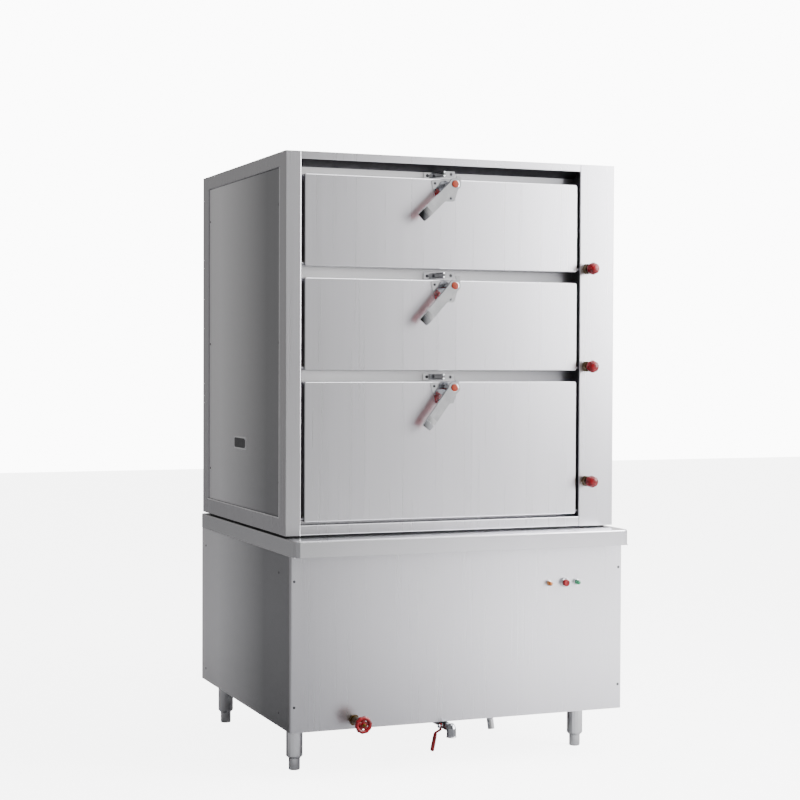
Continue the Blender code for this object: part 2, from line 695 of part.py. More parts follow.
def door(level):
    """Folded outer skin with its hinge pins, inner liner and gasket, all turning about the pins."""
    bottom = DOOR_BOTTOMS[level]
    top = bottom + DOOR_HEIGHTS[level]
    pivot = (DOOR_MIDDLE, HINGE_SETBACK, bottom + HINGE_RISE)
    skin = pan(DOOR_LEFT, DOOR_RIGHT, bottom, top, 0, DOOR_SHELL_DEPTH, THIN_SHEET, DOOR_CORNER, DOOR_EDGE)
    reach = DOOR_SIDE_GAP + SHEET + HINGE_PIN_TAIL
    pins = []
    for edge, outward in ((DOOR_LEFT, -1), (DOOR_RIGHT, 1)):
        ends = sorted((edge - outward * THIN_SHEET / 2, edge + outward * reach))
        pins.append(turned([(HINGE_PIN_RADIUS, end) for end in ends], "X",
                           (0, HINGE_SETBACK, bottom + HINGE_RISE), PIPE_SIDES))
    piece(level + "_door_skin", joined(skin, *pins), "brushed steel", pivot)
    nest = THIN_SHEET + GAP
    liner = pan(DOOR_LEFT + nest, DOOR_RIGHT - nest, bottom + nest, top - nest, DOOR_DEPTH,
                DOOR_DEPTH - LINER_FLANGE, THIN_SHEET, DOOR_CORNER - nest, THIN_SHEET)
    piece(level + "_door_liner", liner, "brushed steel", pivot)
    seat = DOOR_DEPTH + GAP
    tip = RECESS_DEPTH
    levels = ((0, seat), (0, tip - GASKET_ROUND), (GASKET_ROUND, tip), (GASKET_WIDTH - GASKET_ROUND, tip),
              (GASKET_WIDTH, tip - GASKET_ROUND), (GASKET_WIDTH, seat))
    rings = []
    for inset, y in levels:
        outline = rectangle(DOOR_LEFT, DOOR_RIGHT, bottom, top, GASKET_INSET + inset,
                            GASKET_INSET + GASKET_WIDTH + GASKET_ROUND)
        rings.append([(x, y, z) for x, z in outline])
    piece(level + "_door_gasket", loft(rings, closed=True), "silicone rubber", pivot)


def lever_solid(inset, front, back):
    """The lever's outer or inner form: its plan outline cut to its side profile, lying along +X."""
    half = LEVER_HALF_WIDTH - inset
    head = LEVER_HEAD_RADIUS - inset
    end = LEVER_LENGTH - inset
    meet = math.acos(half / head) if half < head else 0
    outline = []
    steps = PIPE_SIDES
    for step in range(steps + 1):
        angle = math.radians(90) - meet + (math.radians(180) + 2 * meet) * step / steps
        outline.append((head * math.cos(angle), head * math.sin(angle)))
    outline += [(end - LEVER_END_ROUND, -half), (end, LEVER_END_ROUND - half), (end, half - LEVER_END_ROUND),
                (end - LEVER_END_ROUND, half)]
    plan = prism(outline, "Y", front, back)
    slope_start = end - LEVER_TIP_RUN
    side = [(-LEVER_HEAD_RADIUS, front), (slope_start, front), (end, front + LEVER_TIP_DROP), (end + OVERRUN, back),
            (-LEVER_HEAD_RADIUS, back)]
    side_form = prism([(x, y) for x, y in side], "Z", -LEVER_HEAD_RADIUS, LEVER_HEAD_RADIUS)
    return combine(plan, [side_form], "INTERSECT")


def latch(level):
    """Cam-lever latch: base plate with its pin, lever with its jaw, grip liner, and the keeper it draws on."""
    bottom = DOOR_BOTTOMS[level]
    top = bottom + DOOR_HEIGHTS[level]
    door_pivot = (DOOR_MIDDLE, HINGE_SETBACK, bottom + HINGE_RISE)
    x = DOOR_MIDDLE + LATCH_RIGHT
    z = top - LATCH_DROP
    pivot = (x, 0, z)
    plate_top = top - BASE_TOP_MARGIN
    plate_low = plate_top - BASE_HEIGHT
    plate = rounded([(DOOR_MIDDLE - BASE_BOTTOM_HALF, plate_low), (DOOR_MIDDLE + BASE_BOTTOM_HALF, plate_low),
                     (DOOR_MIDDLE + BASE_TOP_HALF, plate_top), (DOOR_MIDDLE - BASE_TOP_HALF, plate_top)],
                    [BASE_CORNER] * 4)
    plate_front = -GAP - BASE_THICKNESS
    channel_back = CHANNEL_WALL - LATCH_STANDOFF
    pin_end = channel_back + GAP
    base = joined(prism(plate, "Y", plate_front, -GAP),
                  turned([(WASHER_RADIUS, -JAW_NEAR + GAP), (WASHER_RADIUS, plate_front + GAP)], "Y", pivot, PIPE_SIDES),
                  turned([(LATCH_PIN_RADIUS, pin_end), (LATCH_PIN_RADIUS, plate_front + GAP)], "Y", pivot, PIPE_SIDES))
    piece(level + "_latch_base", base, "polished chrome", door_pivot)

    channel_rim = CHANNEL_DEPTH - LATCH_STANDOFF
    outer = lever_solid(0, -LATCH_STANDOFF, channel_rim)
    inner = lever_solid(CHANNEL_WALL, channel_back, channel_rim + OVERRUN)
    lever = cut(outer, inner)
    latched = Matrix.Rotation(-math.radians(180 + LATCHED_DEG), 4, "Y")
    lever.transform(latched)
    hub = turned([(HUB_RADIUS, channel_back - CHANNEL_WALL / 2), (HUB_RADIUS, -JAW_NEAR)], "Y", (0, 0, 0), PIPE_SIDES)
    arm_left = ARM_RIGHT - ARM_WIDTH
    jaw_outline = [(-HUB_RADIUS / 2, -HUB_RADIUS), (HUB_RADIUS, -HUB_RADIUS), (ARM_RIGHT, HUB_RADIUS / 2),
                   (ARM_RIGHT, FINGER_LOW), (ARM_RIGHT - ARM_WIDTH / 2, FINGER_HIGH),
                   (FINGER_TIP + CHANNEL_WALL, FINGER_HIGH), (FINGER_TIP, FINGER_HIGH - CHANNEL_WALL),
                   (FINGER_TIP, FINGER_LOW + CHANNEL_WALL), (arm_left, FINGER_LOW), (arm_left, HUB_RADIUS),
                   (-HUB_RADIUS / 2, HUB_RADIUS)]
    jaw = prism(jaw_outline, "Y", -JAW_NEAR - JAW_THICKNESS, -JAW_NEAR)
    bore_radius = hole_radius(LATCH_PIN_RADIUS, PIPE_SIDES)
    bore = turned([(bore_radius, channel_back), (bore_radius, OVERRUN)], "Y", (0, 0, 0), PIPE_SIDES)
    lever = cut(joined(lever, hub, jaw), bore)
    rest_turn = Matrix.Rotation(math.radians(LATCHED_DEG - REST_DEGREES[level]), 4, "Y")
    place = Matrix.Translation(pivot) @ rest_turn
    piece(level + "_latch_lever", moved(lever, place), "polished chrome", pivot)

    nest = CHANNEL_WALL + GAP
    half = LEVER_HALF_WIDTH - nest
    grip_end = LEVER_LENGTH - GRIP_END_ROOM
    grip_plan = rectangle(GRIP_START, grip_end, -half, half, 0, LEVER_END_ROUND)
    grip = prism(grip_plan, "Y", channel_back + GAP, channel_rim + GRIP_PROUD)
    piece(level + "_latch_grip", moved(grip, place @ latched), "red plastic", pivot)

    lip_front = -JAW_NEAR - JAW_THICKNESS - GAP - KEEPER_SHEET
    end = x + KEEPER_END
    lip_start = end - KEEPER_LIP
    ear_start = lip_start - KEEPER_WEB_RUN
    strap = [(end, lip_front), (lip_start, lip_front), (ear_start, RECESS_DEPTH - KEEPER_SHEET),
             (ear_start - KEEPER_EAR, RECESS_DEPTH - KEEPER_SHEET)]
    outline = folded(strap, KEEPER_SHEET, 1, KEEPER_BEND)
    keeper = prism(outline, "Z", top + KEEPER_RISE, top + KEEPER_RISE + KEEPER_HEIGHT)
    piece(level + "_keeper", keeper, "polished chrome")


def steam_manifold():
    """Steam riser from the boiler with a valve body, front bonnet, stem and chamber branch at each level."""
    parts = []
    highest = DOOR_BOTTOMS["upper"] + UPPER_VALVE_RISE
    parts.append(tube([(RISER_X, RISER_DEPTH, TANK_TOP - SHEET - OVERRUN),
                       (RISER_X, RISER_DEPTH, highest + RISER_RADIUS)], RISER_RADIUS))
    for level, bottom in DOOR_BOTTOMS.items():
        z = bottom + VALVE_RISES[level]
        port_z = bottom + CHAMBER_SILL + STEAM_PORT_RISE
        inner = CHAMBER_RIGHT - PORT_REACH
        parts.append(tube([(RISER_X, RISER_DEPTH + OVERRUN, z), (RISER_X, VALVE_DEPTH, z),
                           (VALVE_X + NECK_RADIUS, VALVE_DEPTH, z)], BRANCH_RADIUS, BRANCH_BEND))
        parts.append(tube([(VALVE_X, VALVE_DEPTH + NECK_RADIUS, z), (VALVE_X, RISER_DEPTH, z), (VALVE_X, RISER_DEPTH, port_z),
                           (inner, RISER_DEPTH, port_z)], BRANCH_RADIUS, BRANCH_BEND))
        middle = (VALVE_X, 0, z)
        body = [(BONNET_RADIUS, VALVE_DEPTH - VALVE_BODY_RADIUS), (VALVE_BODY_RADIUS, VALVE_DEPTH - BONNET_RADIUS),
                (VALVE_BODY_RADIUS, VALVE_DEPTH + BONNET_RADIUS), (BONNET_RADIUS, VALVE_DEPTH + VALVE_BODY_RADIUS)]
        parts.append(turned(body, "Y", middle, PIPE_SIDES))
        nut_front = -GAP - NUT_LENGTH
        parts.append(turned([(BONNET_RADIUS, nut_front / 2), (BONNET_RADIUS, VALVE_DEPTH - NECK_RADIUS)], "Y", middle,
                            PIPE_SIDES))
        parts.append(turned([(NUT_RADIUS, nut_front), (NUT_RADIUS, -GAP)], "Y", middle, 6))
        neck_front = nut_front - NECK_LENGTH
        parts.append(turned([(NECK_RADIUS, neck_front), (NECK_RADIUS, nut_front / 2)], "Y", middle, PIPE_SIDES))
        parts.append(turned([(STEM_RADIUS, neck_front - STEM_LENGTH), (STEM_RADIUS, nut_front / 2)], "Y", middle,
                            PIPE_SIDES))
    piece("steam_manifold", joined(*parts), "brass")


def steam_knob(level):
    """Round lobed knob with a blind bore over the valve stem."""
    pivot = (VALVE_X, 0, DOOR_BOTTOMS[level] + VALVE_RISES[level])
    back = -GAP - NUT_LENGTH - NECK_LENGTH - GAP
    profile = [(KNOB_RADIUS * radius, back - KNOB_LENGTH * along) for radius, along in KNOB_PROFILE_SHARES]
    knob = turned(profile, "Y", pivot, FINE_SIDES, False, KNOB_LOBES, KNOB_LOBE_DEPTH_SHARE)
    bore_radius = hole_radius(STEM_RADIUS, PIPE_SIDES)
    bore = turned([(bore_radius, back - STEM_LENGTH - GAP), (bore_radius, back + OVERRUN)], "Y", pivot, PIPE_SIDES)
    piece(level + "_steam_knob", cut(knob, bore), "red plastic", pivot)


def worktop():
    """Folded top with a deep rounded rim, open underneath, with a hole for the steam riser."""
    half = HALF_CABINET + WORKTOP_SIDE_OVERHANG
    front = -WORKTOP_FRONT_OVERHANG
    levels = []
    for step in range(BEND_STEPS + 1):
        angle = math.radians(90) * step / BEND_STEPS
        levels.append((WORKTOP_TOP - WORKTOP_EDGE * (1 - math.cos(angle)), WORKTOP_EDGE * (1 - math.sin(angle))))
    levels += [(WORKTOP_BOTTOM, 0), (WORKTOP_BOTTOM, SHEET), (WORKTOP_TOP - SHEET, SHEET)]
    shell = loft([[(x, y, z) for x, y in rectangle(-half, half, front, CABINET_DEPTH, inset, WORKTOP_CORNER, GAP)]
                  for z, inset in levels])
    hole = hole_radius(RISER_RADIUS, PIPE_SIDES)
    passage = turned([(hole, WORKTOP_TOP - SHEET - OVERRUN), (hole, WORKTOP_TOP + OVERRUN)], "Z",
                     (RISER_X, RISER_DEPTH, 0), PIPE_SIDES)
    piece("worktop", cut(shell, passage), "brushed steel")


def cabinet_plinth():
    """Flat ring that lifts the upper cabinet off the worktop and leaves a shadow gap."""
    half = HALF_CABINET - PLINTH_INSET
    low = WORKTOP_TOP + GAP
    high = CABINET_BOTTOM - GAP
    rings = []
    for inset, z in ((0, low), (0, high), (PLINTH_WIDTH, high), (PLINTH_WIDTH, low)):
        left, right = inset - half, half - inset
        front, back = PLINTH_INSET + inset, CABINET_DEPTH - PLINTH_INSET - inset
        rings.append([(left, front, z), (right, front, z), (right, back, z), (left, back, z)])
    piece("cabinet_plinth", loft(rings, closed=True), "black plastic")


def base_panels():
    """Front panel folded round both corners, side panels behind it and the back panel between them."""
    rear = BASE_FRONT + FRONT_RETURN
    line = [(HALF_BASE, rear), (HALF_BASE, BASE_FRONT), (-HALF_BASE, BASE_FRONT), (-HALF_BASE, rear)]
    front = prism(folded(line, SHEET, 1, FRONT_BEND), "Z", FLOOR_CLEARANCE, PANEL_TOP)
    holes = []
    pipe_hole = hole_radius(BRANCH_RADIUS, PIPE_SIDES)
    lamp_hole = hole_radius(LAMP_RADIUS, PIPE_SIDES)
    tube_hole = hole_radius(BEZEL_TUBE_RADIUS, FINE_SIDES)
    openings = ((INLET_X, INLET_Z, pipe_hole, PIPE_SIDES), (HALF_BASE - AMBER_INSET, CONTROL_Z, lamp_hole, PIPE_SIDES),
                (BUTTON_X, CONTROL_Z, tube_hole, FINE_SIDES), (HALF_BASE - GREEN_INSET, CONTROL_Z, lamp_hole, PIPE_SIDES))
    for x, z, radius, sides in openings:
        ends = [(radius, BASE_FRONT - OVERRUN), (radius, BASE_FRONT + SHEET + OVERRUN)]
        holes.append(turned(ends, "Y", (x, 0, z), sides))
    piece("base_front_panel", cut(front, *holes), "brushed steel")
    for side, name in ((-1, "base_left_panel"), (1, "base_right_panel")):
        left, right = sorted((side * HALF_BASE, side * (HALF_BASE - SHEET)))
        panel = box((left, rear + GAP, FLOOR_CLEARANCE), (right, CABINET_DEPTH, PANEL_TOP))
        piece(name, panel, "brushed steel")
    half = HALF_BASE - SHEET - GAP
    panel = box((-half, CABINET_DEPTH - SHEET, FLOOR_CLEARANCE), (half, CABINET_DEPTH, PANEL_TOP))
    piece("base_back_panel", panel, "brushed steel")


def leg_places():
    """Name and centre of each leg."""
    x = HALF_BASE - LEG_SIDE_INSET
    front = BASE_FRONT + LEG_FRONT_INSET
    back = CABINET_DEPTH - LEG_BACK_INSET
    return {"front_left_foot": (-x, front, 0), "front_right_foot": (x, front, 0), "back_left_foot": (-x, back, 0),
            "back_right_foot": (x, back, 0)}


def base_frame():
    """Floor sheet with corner angles up to the worktop and leg sockets below, all welded."""
    half = HALF_BASE - SHEET - GAP
    back = CABINET_DEPTH - SHEET - GAP
    corner = FRONT_BEND + SHEET
    floor = prism(rectangle(-half, half, PANEL_INNER, back, 0, corner), "Z", FLOOR_UNDER, FLOOR_TOP)
    members = []
    angle_top = WORKTOP_TOP - SHEET - GAP
    for side in (-1, 1):
        for y, inward in ((PANEL_INNER, 1), (back, -1)):
            line = [(side * (half - ANGLE_WIDTH), y), (side * half, y), (side * half, y + inward * ANGLE_WIDTH)]
            outline = folded(line, ANGLE_SHEET, -side * inward)
            members.append(prism(outline, "Z", FLOOR_UNDER + SHEET / 2, angle_top))
    bore = hole_radius(STUD_RADIUS, PIPE_SIDES)
    low = FOOT_HEIGHT + GAP
    profile = [(bore, low), (FOOT_RADIUS, low), (LEG_RADIUS, low + SHOULDER_HEIGHT),
               (LEG_RADIUS, FLOOR_UNDER + SHEET / 2), (LEG_RADIUS - LEG_WALL, FLOOR_UNDER + SHEET / 2),
               (LEG_RADIUS - LEG_WALL, low + PLUG_HEIGHT), (bore, low + PLUG_HEIGHT)]
    for place in leg_places().values():
        members.append(turned(profile, "Z", place, FINE_SIDES, closed=True))
    drain_hole = hole_radius(DRAIN_PIPE_RADIUS, PIPE_SIDES)
    overflow_hole = hole_radius(OVERFLOW_RADIUS, PIPE_SIDES)
    holes = []
    for x, y, radius in ((DRAIN_X, DRAIN_PIPE_DEPTH, drain_hole), (OVERFLOW_X, OVERFLOW_Y, overflow_hole)):
        holes.append(turned([(radius, FLOOR_UNDER - OVERRUN), (radius, FLOOR_TOP + OVERRUN)], "Z", (x, y, 0), PIPE_SIDES))
    piece("base_frame", cut(joined(floor, *members), *holes), "galvanised steel")


def levelling_feet():
    """Screw-in feet: a round pad with a stud up into the leg's plug."""
    profile = [(FOOT_RADIUS - FOOT_CHAMFER, 0), (FOOT_RADIUS, FOOT_CHAMFER), (FOOT_RADIUS, FOOT_HEIGHT),
               (STUD_RADIUS, FOOT_HEIGHT), (STUD_RADIUS, FOOT_HEIGHT + STUD_LENGTH)]
    for name, place in leg_places().items():
        piece(name, turned(profile, "Z", place, FINE_SIDES), "polished chrome", place)


def boiler_tank():
    """Water tank on two bearers, with openings for steam, water inlet, overflow and heater."""
    outer = box((-TANK_HALF, TANK_FRONT, TANK_BOTTOM), (TANK_HALF, TANK_BACK, TANK_TOP))
    inner = box((SHEET - TANK_HALF, TANK_FRONT + SHEET, TANK_BOTTOM + SHEET),
                (TANK_HALF - SHEET, TANK_BACK - SHEET, TANK_TOP - SHEET))
    bearers = []
    for side in (-1, 1):
        left, right = sorted((side * (TANK_HALF - BEARER_INSET), side * (TANK_HALF - BEARER_INSET - BEARER_WIDTH)))
        bearers.append(box((left, TANK_FRONT + BEARER_INSET, FLOOR_TOP + GAP),
                           (right, TANK_BACK - BEARER_INSET, TANK_BOTTOM + SHEET / 2)))
    steam_hole = hole_radius(RISER_RADIUS, PIPE_SIDES)
    pipe_hole = hole_radius(BRANCH_RADIUS, PIPE_SIDES)
    overflow_hole = hole_radius(OVERFLOW_RADIUS, PIPE_SIDES)
    drain_hole = SPOUT_BORE_RADIUS
    front = (TANK_FRONT - OVERRUN, TANK_FRONT + SHEET + OVERRUN)
    holes = [turned([(steam_hole, TANK_TOP - SHEET - OVERRUN), (steam_hole, TANK_TOP + OVERRUN)], "Z",
                    (RISER_X, RISER_DEPTH, 0), PIPE_SIDES),
             turned([(drain_hole, TANK_BOTTOM - OVERRUN), (drain_hole, TANK_BOTTOM + SHEET + OVERRUN)], "Z",
                    (DRAIN_X, DRAIN_PIPE_DEPTH, 0), PIPE_SIDES)]
    for x, z, radius in ((INLET_X, INLET_HIGH, pipe_hole), (OVERFLOW_X, OVERFLOW_HIGH, overflow_hole),
                         (HEATER_X, TANK_BOTTOM + HEATER_RISE, HEATER_HOLE_RADIUS)):
        holes.append(turned([(radius, along) for along in front], "Y", (x, 0, z), PIPE_SIDES))
    piece("boiler_tank", cut(joined(cut(outer, inner), *bearers), *holes), "brushed steel")


def heater_elements():
    """Three U-shaped immersion tubes on one bolted flange."""
    z = TANK_BOTTOM + HEATER_RISE
    flange_back = TANK_FRONT - GAP
    parts = [turned([(HEATER_FLANGE_RADIUS, flange_back - HEATER_FLANGE_THICKNESS), (HEATER_FLANGE_RADIUS, flange_back)],
                    "Y", (HEATER_X, 0, z), FINE_SIDES)]
    start = flange_back - HEATER_FLANGE_THICKNESS / 2
    for place in (-1, 0, 1):
        x = HEATER_X + place * HEATER_TUBE_PITCH
        low, high = z - HEATER_TUBE_HALF_GAP, z + HEATER_TUBE_HALF_GAP
        points = [(x, start, low), (x, start + HEATER_LENGTH, low), (x, start + HEATER_LENGTH, high), (x, start, high)]
        parts.append(tube(points, HEATER_TUBE_RADIUS, HEATER_TUBE_HALF_GAP - GAP, ROD_SIDES))
    piece("heater_elements", joined(*parts), "polished chrome")


def water_inlet():
    """Inlet valve on the base front, its pipe up to the tank and the float valve block with its pin."""
    front = (INLET_X, 0, INLET_Z)
    wheel_back = INLET_FRONT + WHEEL_HUB_LENGTH
    body_start = BASE_FRONT - GAP
    nut_end = body_start - INLET_NUT_LENGTH
    body_end = nut_end - INLET_BODY_LENGTH
    bonnet_end = body_end - BONNET_NUT_LENGTH
    stem_end = STEM_HOLE_END + GAP
    parts = [tube([(INLET_X, nut_end, INLET_Z), (INLET_X, INLET_PIPE_DEPTH, INLET_Z),
                   (INLET_X, INLET_PIPE_DEPTH, INLET_HIGH), (INLET_X, TANK_FRONT + SHEET + FLOAT_BLOCK, INLET_HIGH)],
                  BRANCH_RADIUS),
             turned([(INLET_NUT_RADIUS, nut_end), (INLET_NUT_RADIUS, body_start)], "Y", front, 6),
             turned([(INLET_BODY_RADIUS, body_end), (INLET_BODY_RADIUS, body_start - INLET_NUT_LENGTH / 2)], "Y", front,
                    PIPE_SIDES),
             turned([(BONNET_NUT_RADIUS, bonnet_end), (BONNET_NUT_RADIUS, body_end + GAP)], "Y", front, 6),
             turned([(NECK_RADIUS, wheel_back + GAP), (NECK_RADIUS, bonnet_end + GAP)], "Y", front, PIPE_SIDES),
             turned([(STEM_RADIUS, stem_end), (STEM_RADIUS, bonnet_end + GAP)], "Y", front, PIPE_SIDES)]
    half = FLOAT_BLOCK / 2
    block_start = TANK_FRONT + SHEET + FLOAT_BLOCK / 2
    parts.append(box((INLET_X - half, block_start, INLET_HIGH - half),
                     (INLET_X + half, FLOAT_PIVOT.y + FLOAT_EYE_RADIUS, INLET_HIGH + half)))
    parts.append(turned([(FLOAT_PIN_RADIUS, -half), (FLOAT_PIN_RADIUS, half + FLOAT_EYE_LENGTH + 2 * GAP + THIN_SHEET)],
                        "X", (INLET_X, FLOAT_PIVOT.y, INLET_HIGH), PIPE_SIDES))
    piece("water_inlet", joined(*parts), "brass")


def float_arm():
    """Float ball on an arm, with an eye round the float valve's pin."""
    start = FLOAT_BLOCK / 2 + GAP
    eye_x = INLET_X + start
    bore = hole_radius(FLOAT_PIN_RADIUS, PIPE_SIDES)
    eye = turned([(bore, start), (FLOAT_EYE_RADIUS, start), (FLOAT_EYE_RADIUS, start + FLOAT_EYE_LENGTH),
                  (bore, start + FLOAT_EYE_LENGTH)], "X", (INLET_X, FLOAT_PIVOT.y, INLET_HIGH), PIPE_SIDES, closed=True)
    arm_x = eye_x + FLOAT_EYE_LENGTH / 2
    droop = math.radians(FLOAT_REST_DEG)
    along = Vector((0, math.cos(droop), -math.sin(droop)))
    base = Vector((arm_x, FLOAT_PIVOT.y, INLET_HIGH))
    arm = tube([base + along * (FLOAT_EYE_RADIUS - FLOAT_EYE_RADIUS / 4), base + along * FLOAT_ARM_LENGTH],
               FLOAT_ARM_RADIUS, sides=ROD_SIDES)
    profile = []
    for ring in range(1, FLOAT_RING_COUNT):
        angle = math.radians(180) * ring / FLOAT_RING_COUNT
        profile.append((FLOAT_RADIUS * math.sin(angle), -FLOAT_RADIUS * math.cos(angle)))
    ball = turned(profile, "Y", base + along * (FLOAT_ARM_LENGTH + FLOAT_RADIUS - FLOAT_ARM_RADIUS), PIPE_SIDES)
    piece("float_arm", joined(eye, arm, ball), "brass", (INLET_X, FLOAT_PIVOT.y, INLET_HIGH))


def water_handwheel():
    """Lobed rim on five spokes round a hub with a blind bore."""
    pivot = (INLET_X, 0, INLET_Z)
    hub_back = INLET_FRONT + WHEEL_HUB_LENGTH
    middle = INLET_FRONT + WHEEL_HUB_LENGTH / 2
    inner = WHEEL_RADIUS - WHEEL_RIM_WIDTH
    half = WHEEL_RIM_THICKNESS / 2
    bulge = WHEEL_RIM_WIDTH / 4
    rim_rings = []
    for radius, y, share in ((inner, middle - half + bulge, 0), (inner + bulge, middle - half, 0),
                             (WHEEL_RADIUS - bulge, middle - half, WHEEL_LOBE_DEPTH_SHARE),
                             (WHEEL_RADIUS, middle - half + bulge, WHEEL_LOBE_DEPTH_SHARE),
                             (WHEEL_RADIUS, middle + half - bulge, WHEEL_LOBE_DEPTH_SHARE),
                             (WHEEL_RADIUS - bulge, middle + half, WHEEL_LOBE_DEPTH_SHARE),
                             (inner + bulge, middle + half, 0), (inner, middle + half - bulge, 0)):
        rim_rings.append([(INLET_X + x, y, INLET_Z + z) for x, z in circle(radius, WHEEL_SIDES, WHEEL_LOBES, share)])
    rim = loft(rim_rings, closed=True)
    hub = turned([(WHEEL_HUB_RADIUS - bulge, INLET_FRONT), (WHEEL_HUB_RADIUS, INLET_FRONT + bulge),
                  (WHEEL_HUB_RADIUS, hub_back)], "Y", pivot, FINE_SIDES)
    spokes = []
    for turn in range(WHEEL_SPOKES):
        spoke = box((WHEEL_HUB_RADIUS / 2, middle - WHEEL_SPOKE_THICKNESS / 2, -WHEEL_SPOKE_WIDTH / 2),
                    (inner + WHEEL_RIM_WIDTH / 2, middle + WHEEL_SPOKE_THICKNESS / 2, WHEEL_SPOKE_WIDTH / 2))
        angle = math.radians(360) * turn / WHEEL_SPOKES
        spokes.append(moved(spoke, Matrix.Translation(pivot) @ Matrix.Rotation(angle, 4, "Y")))
    bore_radius = hole_radius(STEM_RADIUS, PIPE_SIDES)
    bore = turned([(bore_radius, STEM_HOLE_END), (bore_radius, hub_back + OVERRUN)], "Y", pivot, PIPE_SIDES)
    piece("water_handwheel", cut(joined(hub, rim, *spokes), bore), "red plastic", pivot)


def drain_valve():
    """Drain pipe from the tank, ball valve body with its side stem, and a spout turned down."""
    spout_y = BASE_FRONT - SPOUT_REACH
    body_back = DRAIN_Y + DRAIN_BODY_LENGTH / 2
    body_front = DRAIN_Y - DRAIN_BODY_LENGTH / 2
    centre = (DRAIN_X, 0, DRAIN_Z)
    pipe = tube([(DRAIN_X, DRAIN_PIPE_DEPTH, TANK_BOTTOM - GAP), (DRAIN_X, DRAIN_PIPE_DEPTH, DRAIN_Z),
                 (DRAIN_X, body_front, DRAIN_Z)], DRAIN_PIPE_RADIUS, PIPE_BEND / 2)
    body = turned([(DRAIN_PIPE_RADIUS + GAP, body_front), (DRAIN_BODY_RADIUS, body_front + DRAIN_BODY_RADIUS / 2),
                   (DRAIN_BODY_RADIUS, body_back - DRAIN_BODY_RADIUS / 2), (DRAIN_PIPE_RADIUS + GAP, body_back)], "Y",
                  centre, PIPE_SIDES)
    elbow_top = DRAIN_Z + SPOUT_RADIUS
    spout = turned([(SPOUT_RADIUS / 2, elbow_top), (SPOUT_RADIUS - SPOUT_ROUND, elbow_top - SPOUT_ROUND),
                    (SPOUT_RADIUS, DRAIN_Z), (SPOUT_RADIUS, DRAIN_Z - SPOUT_DROP)], "Z", (DRAIN_X, spout_y, 0),
                   PIPE_SIDES)
    neck = turned([(DRAIN_PIPE_RADIUS + GAP, spout_y), (DRAIN_PIPE_RADIUS + GAP, body_front + DRAIN_BODY_RADIUS)], "Y",
                  centre, PIPE_SIDES)
    stem = turned([(DRAIN_STEM_RADIUS, -DRAIN_STEM_REACH - DRAIN_BODY_RADIUS), (DRAIN_STEM_RADIUS, 0)], "X",
                  (DRAIN_X, DRAIN_Y, DRAIN_Z), PIPE_SIDES)
    mouth = turned([(SPOUT_BORE_RADIUS, DRAIN_Z - SPOUT_DROP - OVERRUN),
                    (SPOUT_BORE_RADIUS, DRAIN_Z - SPOUT_DROP + SPOUT_BORE_DEPTH)], "Z", (DRAIN_X, spout_y, 0), PIPE_SIDES)
    piece("drain_valve", cut(joined(pipe, body, neck, spout, stem), mouth), "polished chrome")


def drain_lever():
    """Cranked flat handle hanging from the drain valve's stem."""
    x = DRAIN_X - DRAIN_BODY_RADIUS - DRAIN_STEM_REACH / 2
    pivot = (DRAIN_X, DRAIN_Y, DRAIN_Z)
    line = [(x, DRAIN_Z + HANDLE_EYE_HALF), (x, DRAIN_Z - HANDLE_EYE_HALF),
            (x - HANDLE_NECK_OUT, DRAIN_Z - HANDLE_EYE_HALF - HANDLE_NECK_DROP),
            (x - HANDLE_NECK_OUT - HANDLE_OUT, DRAIN_Z - HANDLE_EYE_HALF - HANDLE_NECK_DROP - HANDLE_DROP)]
    bar = prism(folded(line, HANDLE_SHEET, -1), "Y", DRAIN_Y - HANDLE_WIDTH / 2, DRAIN_Y + HANDLE_WIDTH / 2)
    bore_radius = hole_radius(DRAIN_STEM_RADIUS, PIPE_SIDES)
    bore = turned([(bore_radius, x - OVERRUN), (bore_radius, x + HANDLE_SHEET + OVERRUN)], "X", (0, DRAIN_Y, DRAIN_Z),
                  PIPE_SIDES)
    piece("drain_lever", cut(bar, bore), "red plastic", pivot)


def overflow_pipe():
    """Standpipe from the tank's water line, down through the floor to a short tilted stub."""
    low = FLOOR_CLEARANCE - OVERFLOW_DROP
    shape = tube([(OVERFLOW_X, TANK_FRONT + SHEET + OVERRUN, OVERFLOW_HIGH), (OVERFLOW_X, OVERFLOW_Y, OVERFLOW_HIGH),
                  (OVERFLOW_X, OVERFLOW_Y, FLOOR_CLEARANCE - THIN_SHEET), (OVERFLOW_X, OVERFLOW_Y - OVERFLOW_TILT, low)],
                 OVERFLOW_RADIUS, OVERFLOW_FRONT_ROOM)
    inner = OVERFLOW_RADIUS - OVERFLOW_WALL
    mouth_top = low + OVERFLOW_MOUTH_DEPTH
    slope = OVERFLOW_TILT / (OVERFLOW_DROP - THIN_SHEET)
    mouth = tube([(OVERFLOW_X, OVERFLOW_Y - OVERFLOW_TILT - OVERRUN * slope, low - OVERRUN),
                  (OVERFLOW_X, OVERFLOW_Y - OVERFLOW_TILT + OVERFLOW_MOUTH_DEPTH * slope, mouth_top)], inner)
    piece("overflow_pipe", cut(shape, mouth), "brushed steel")


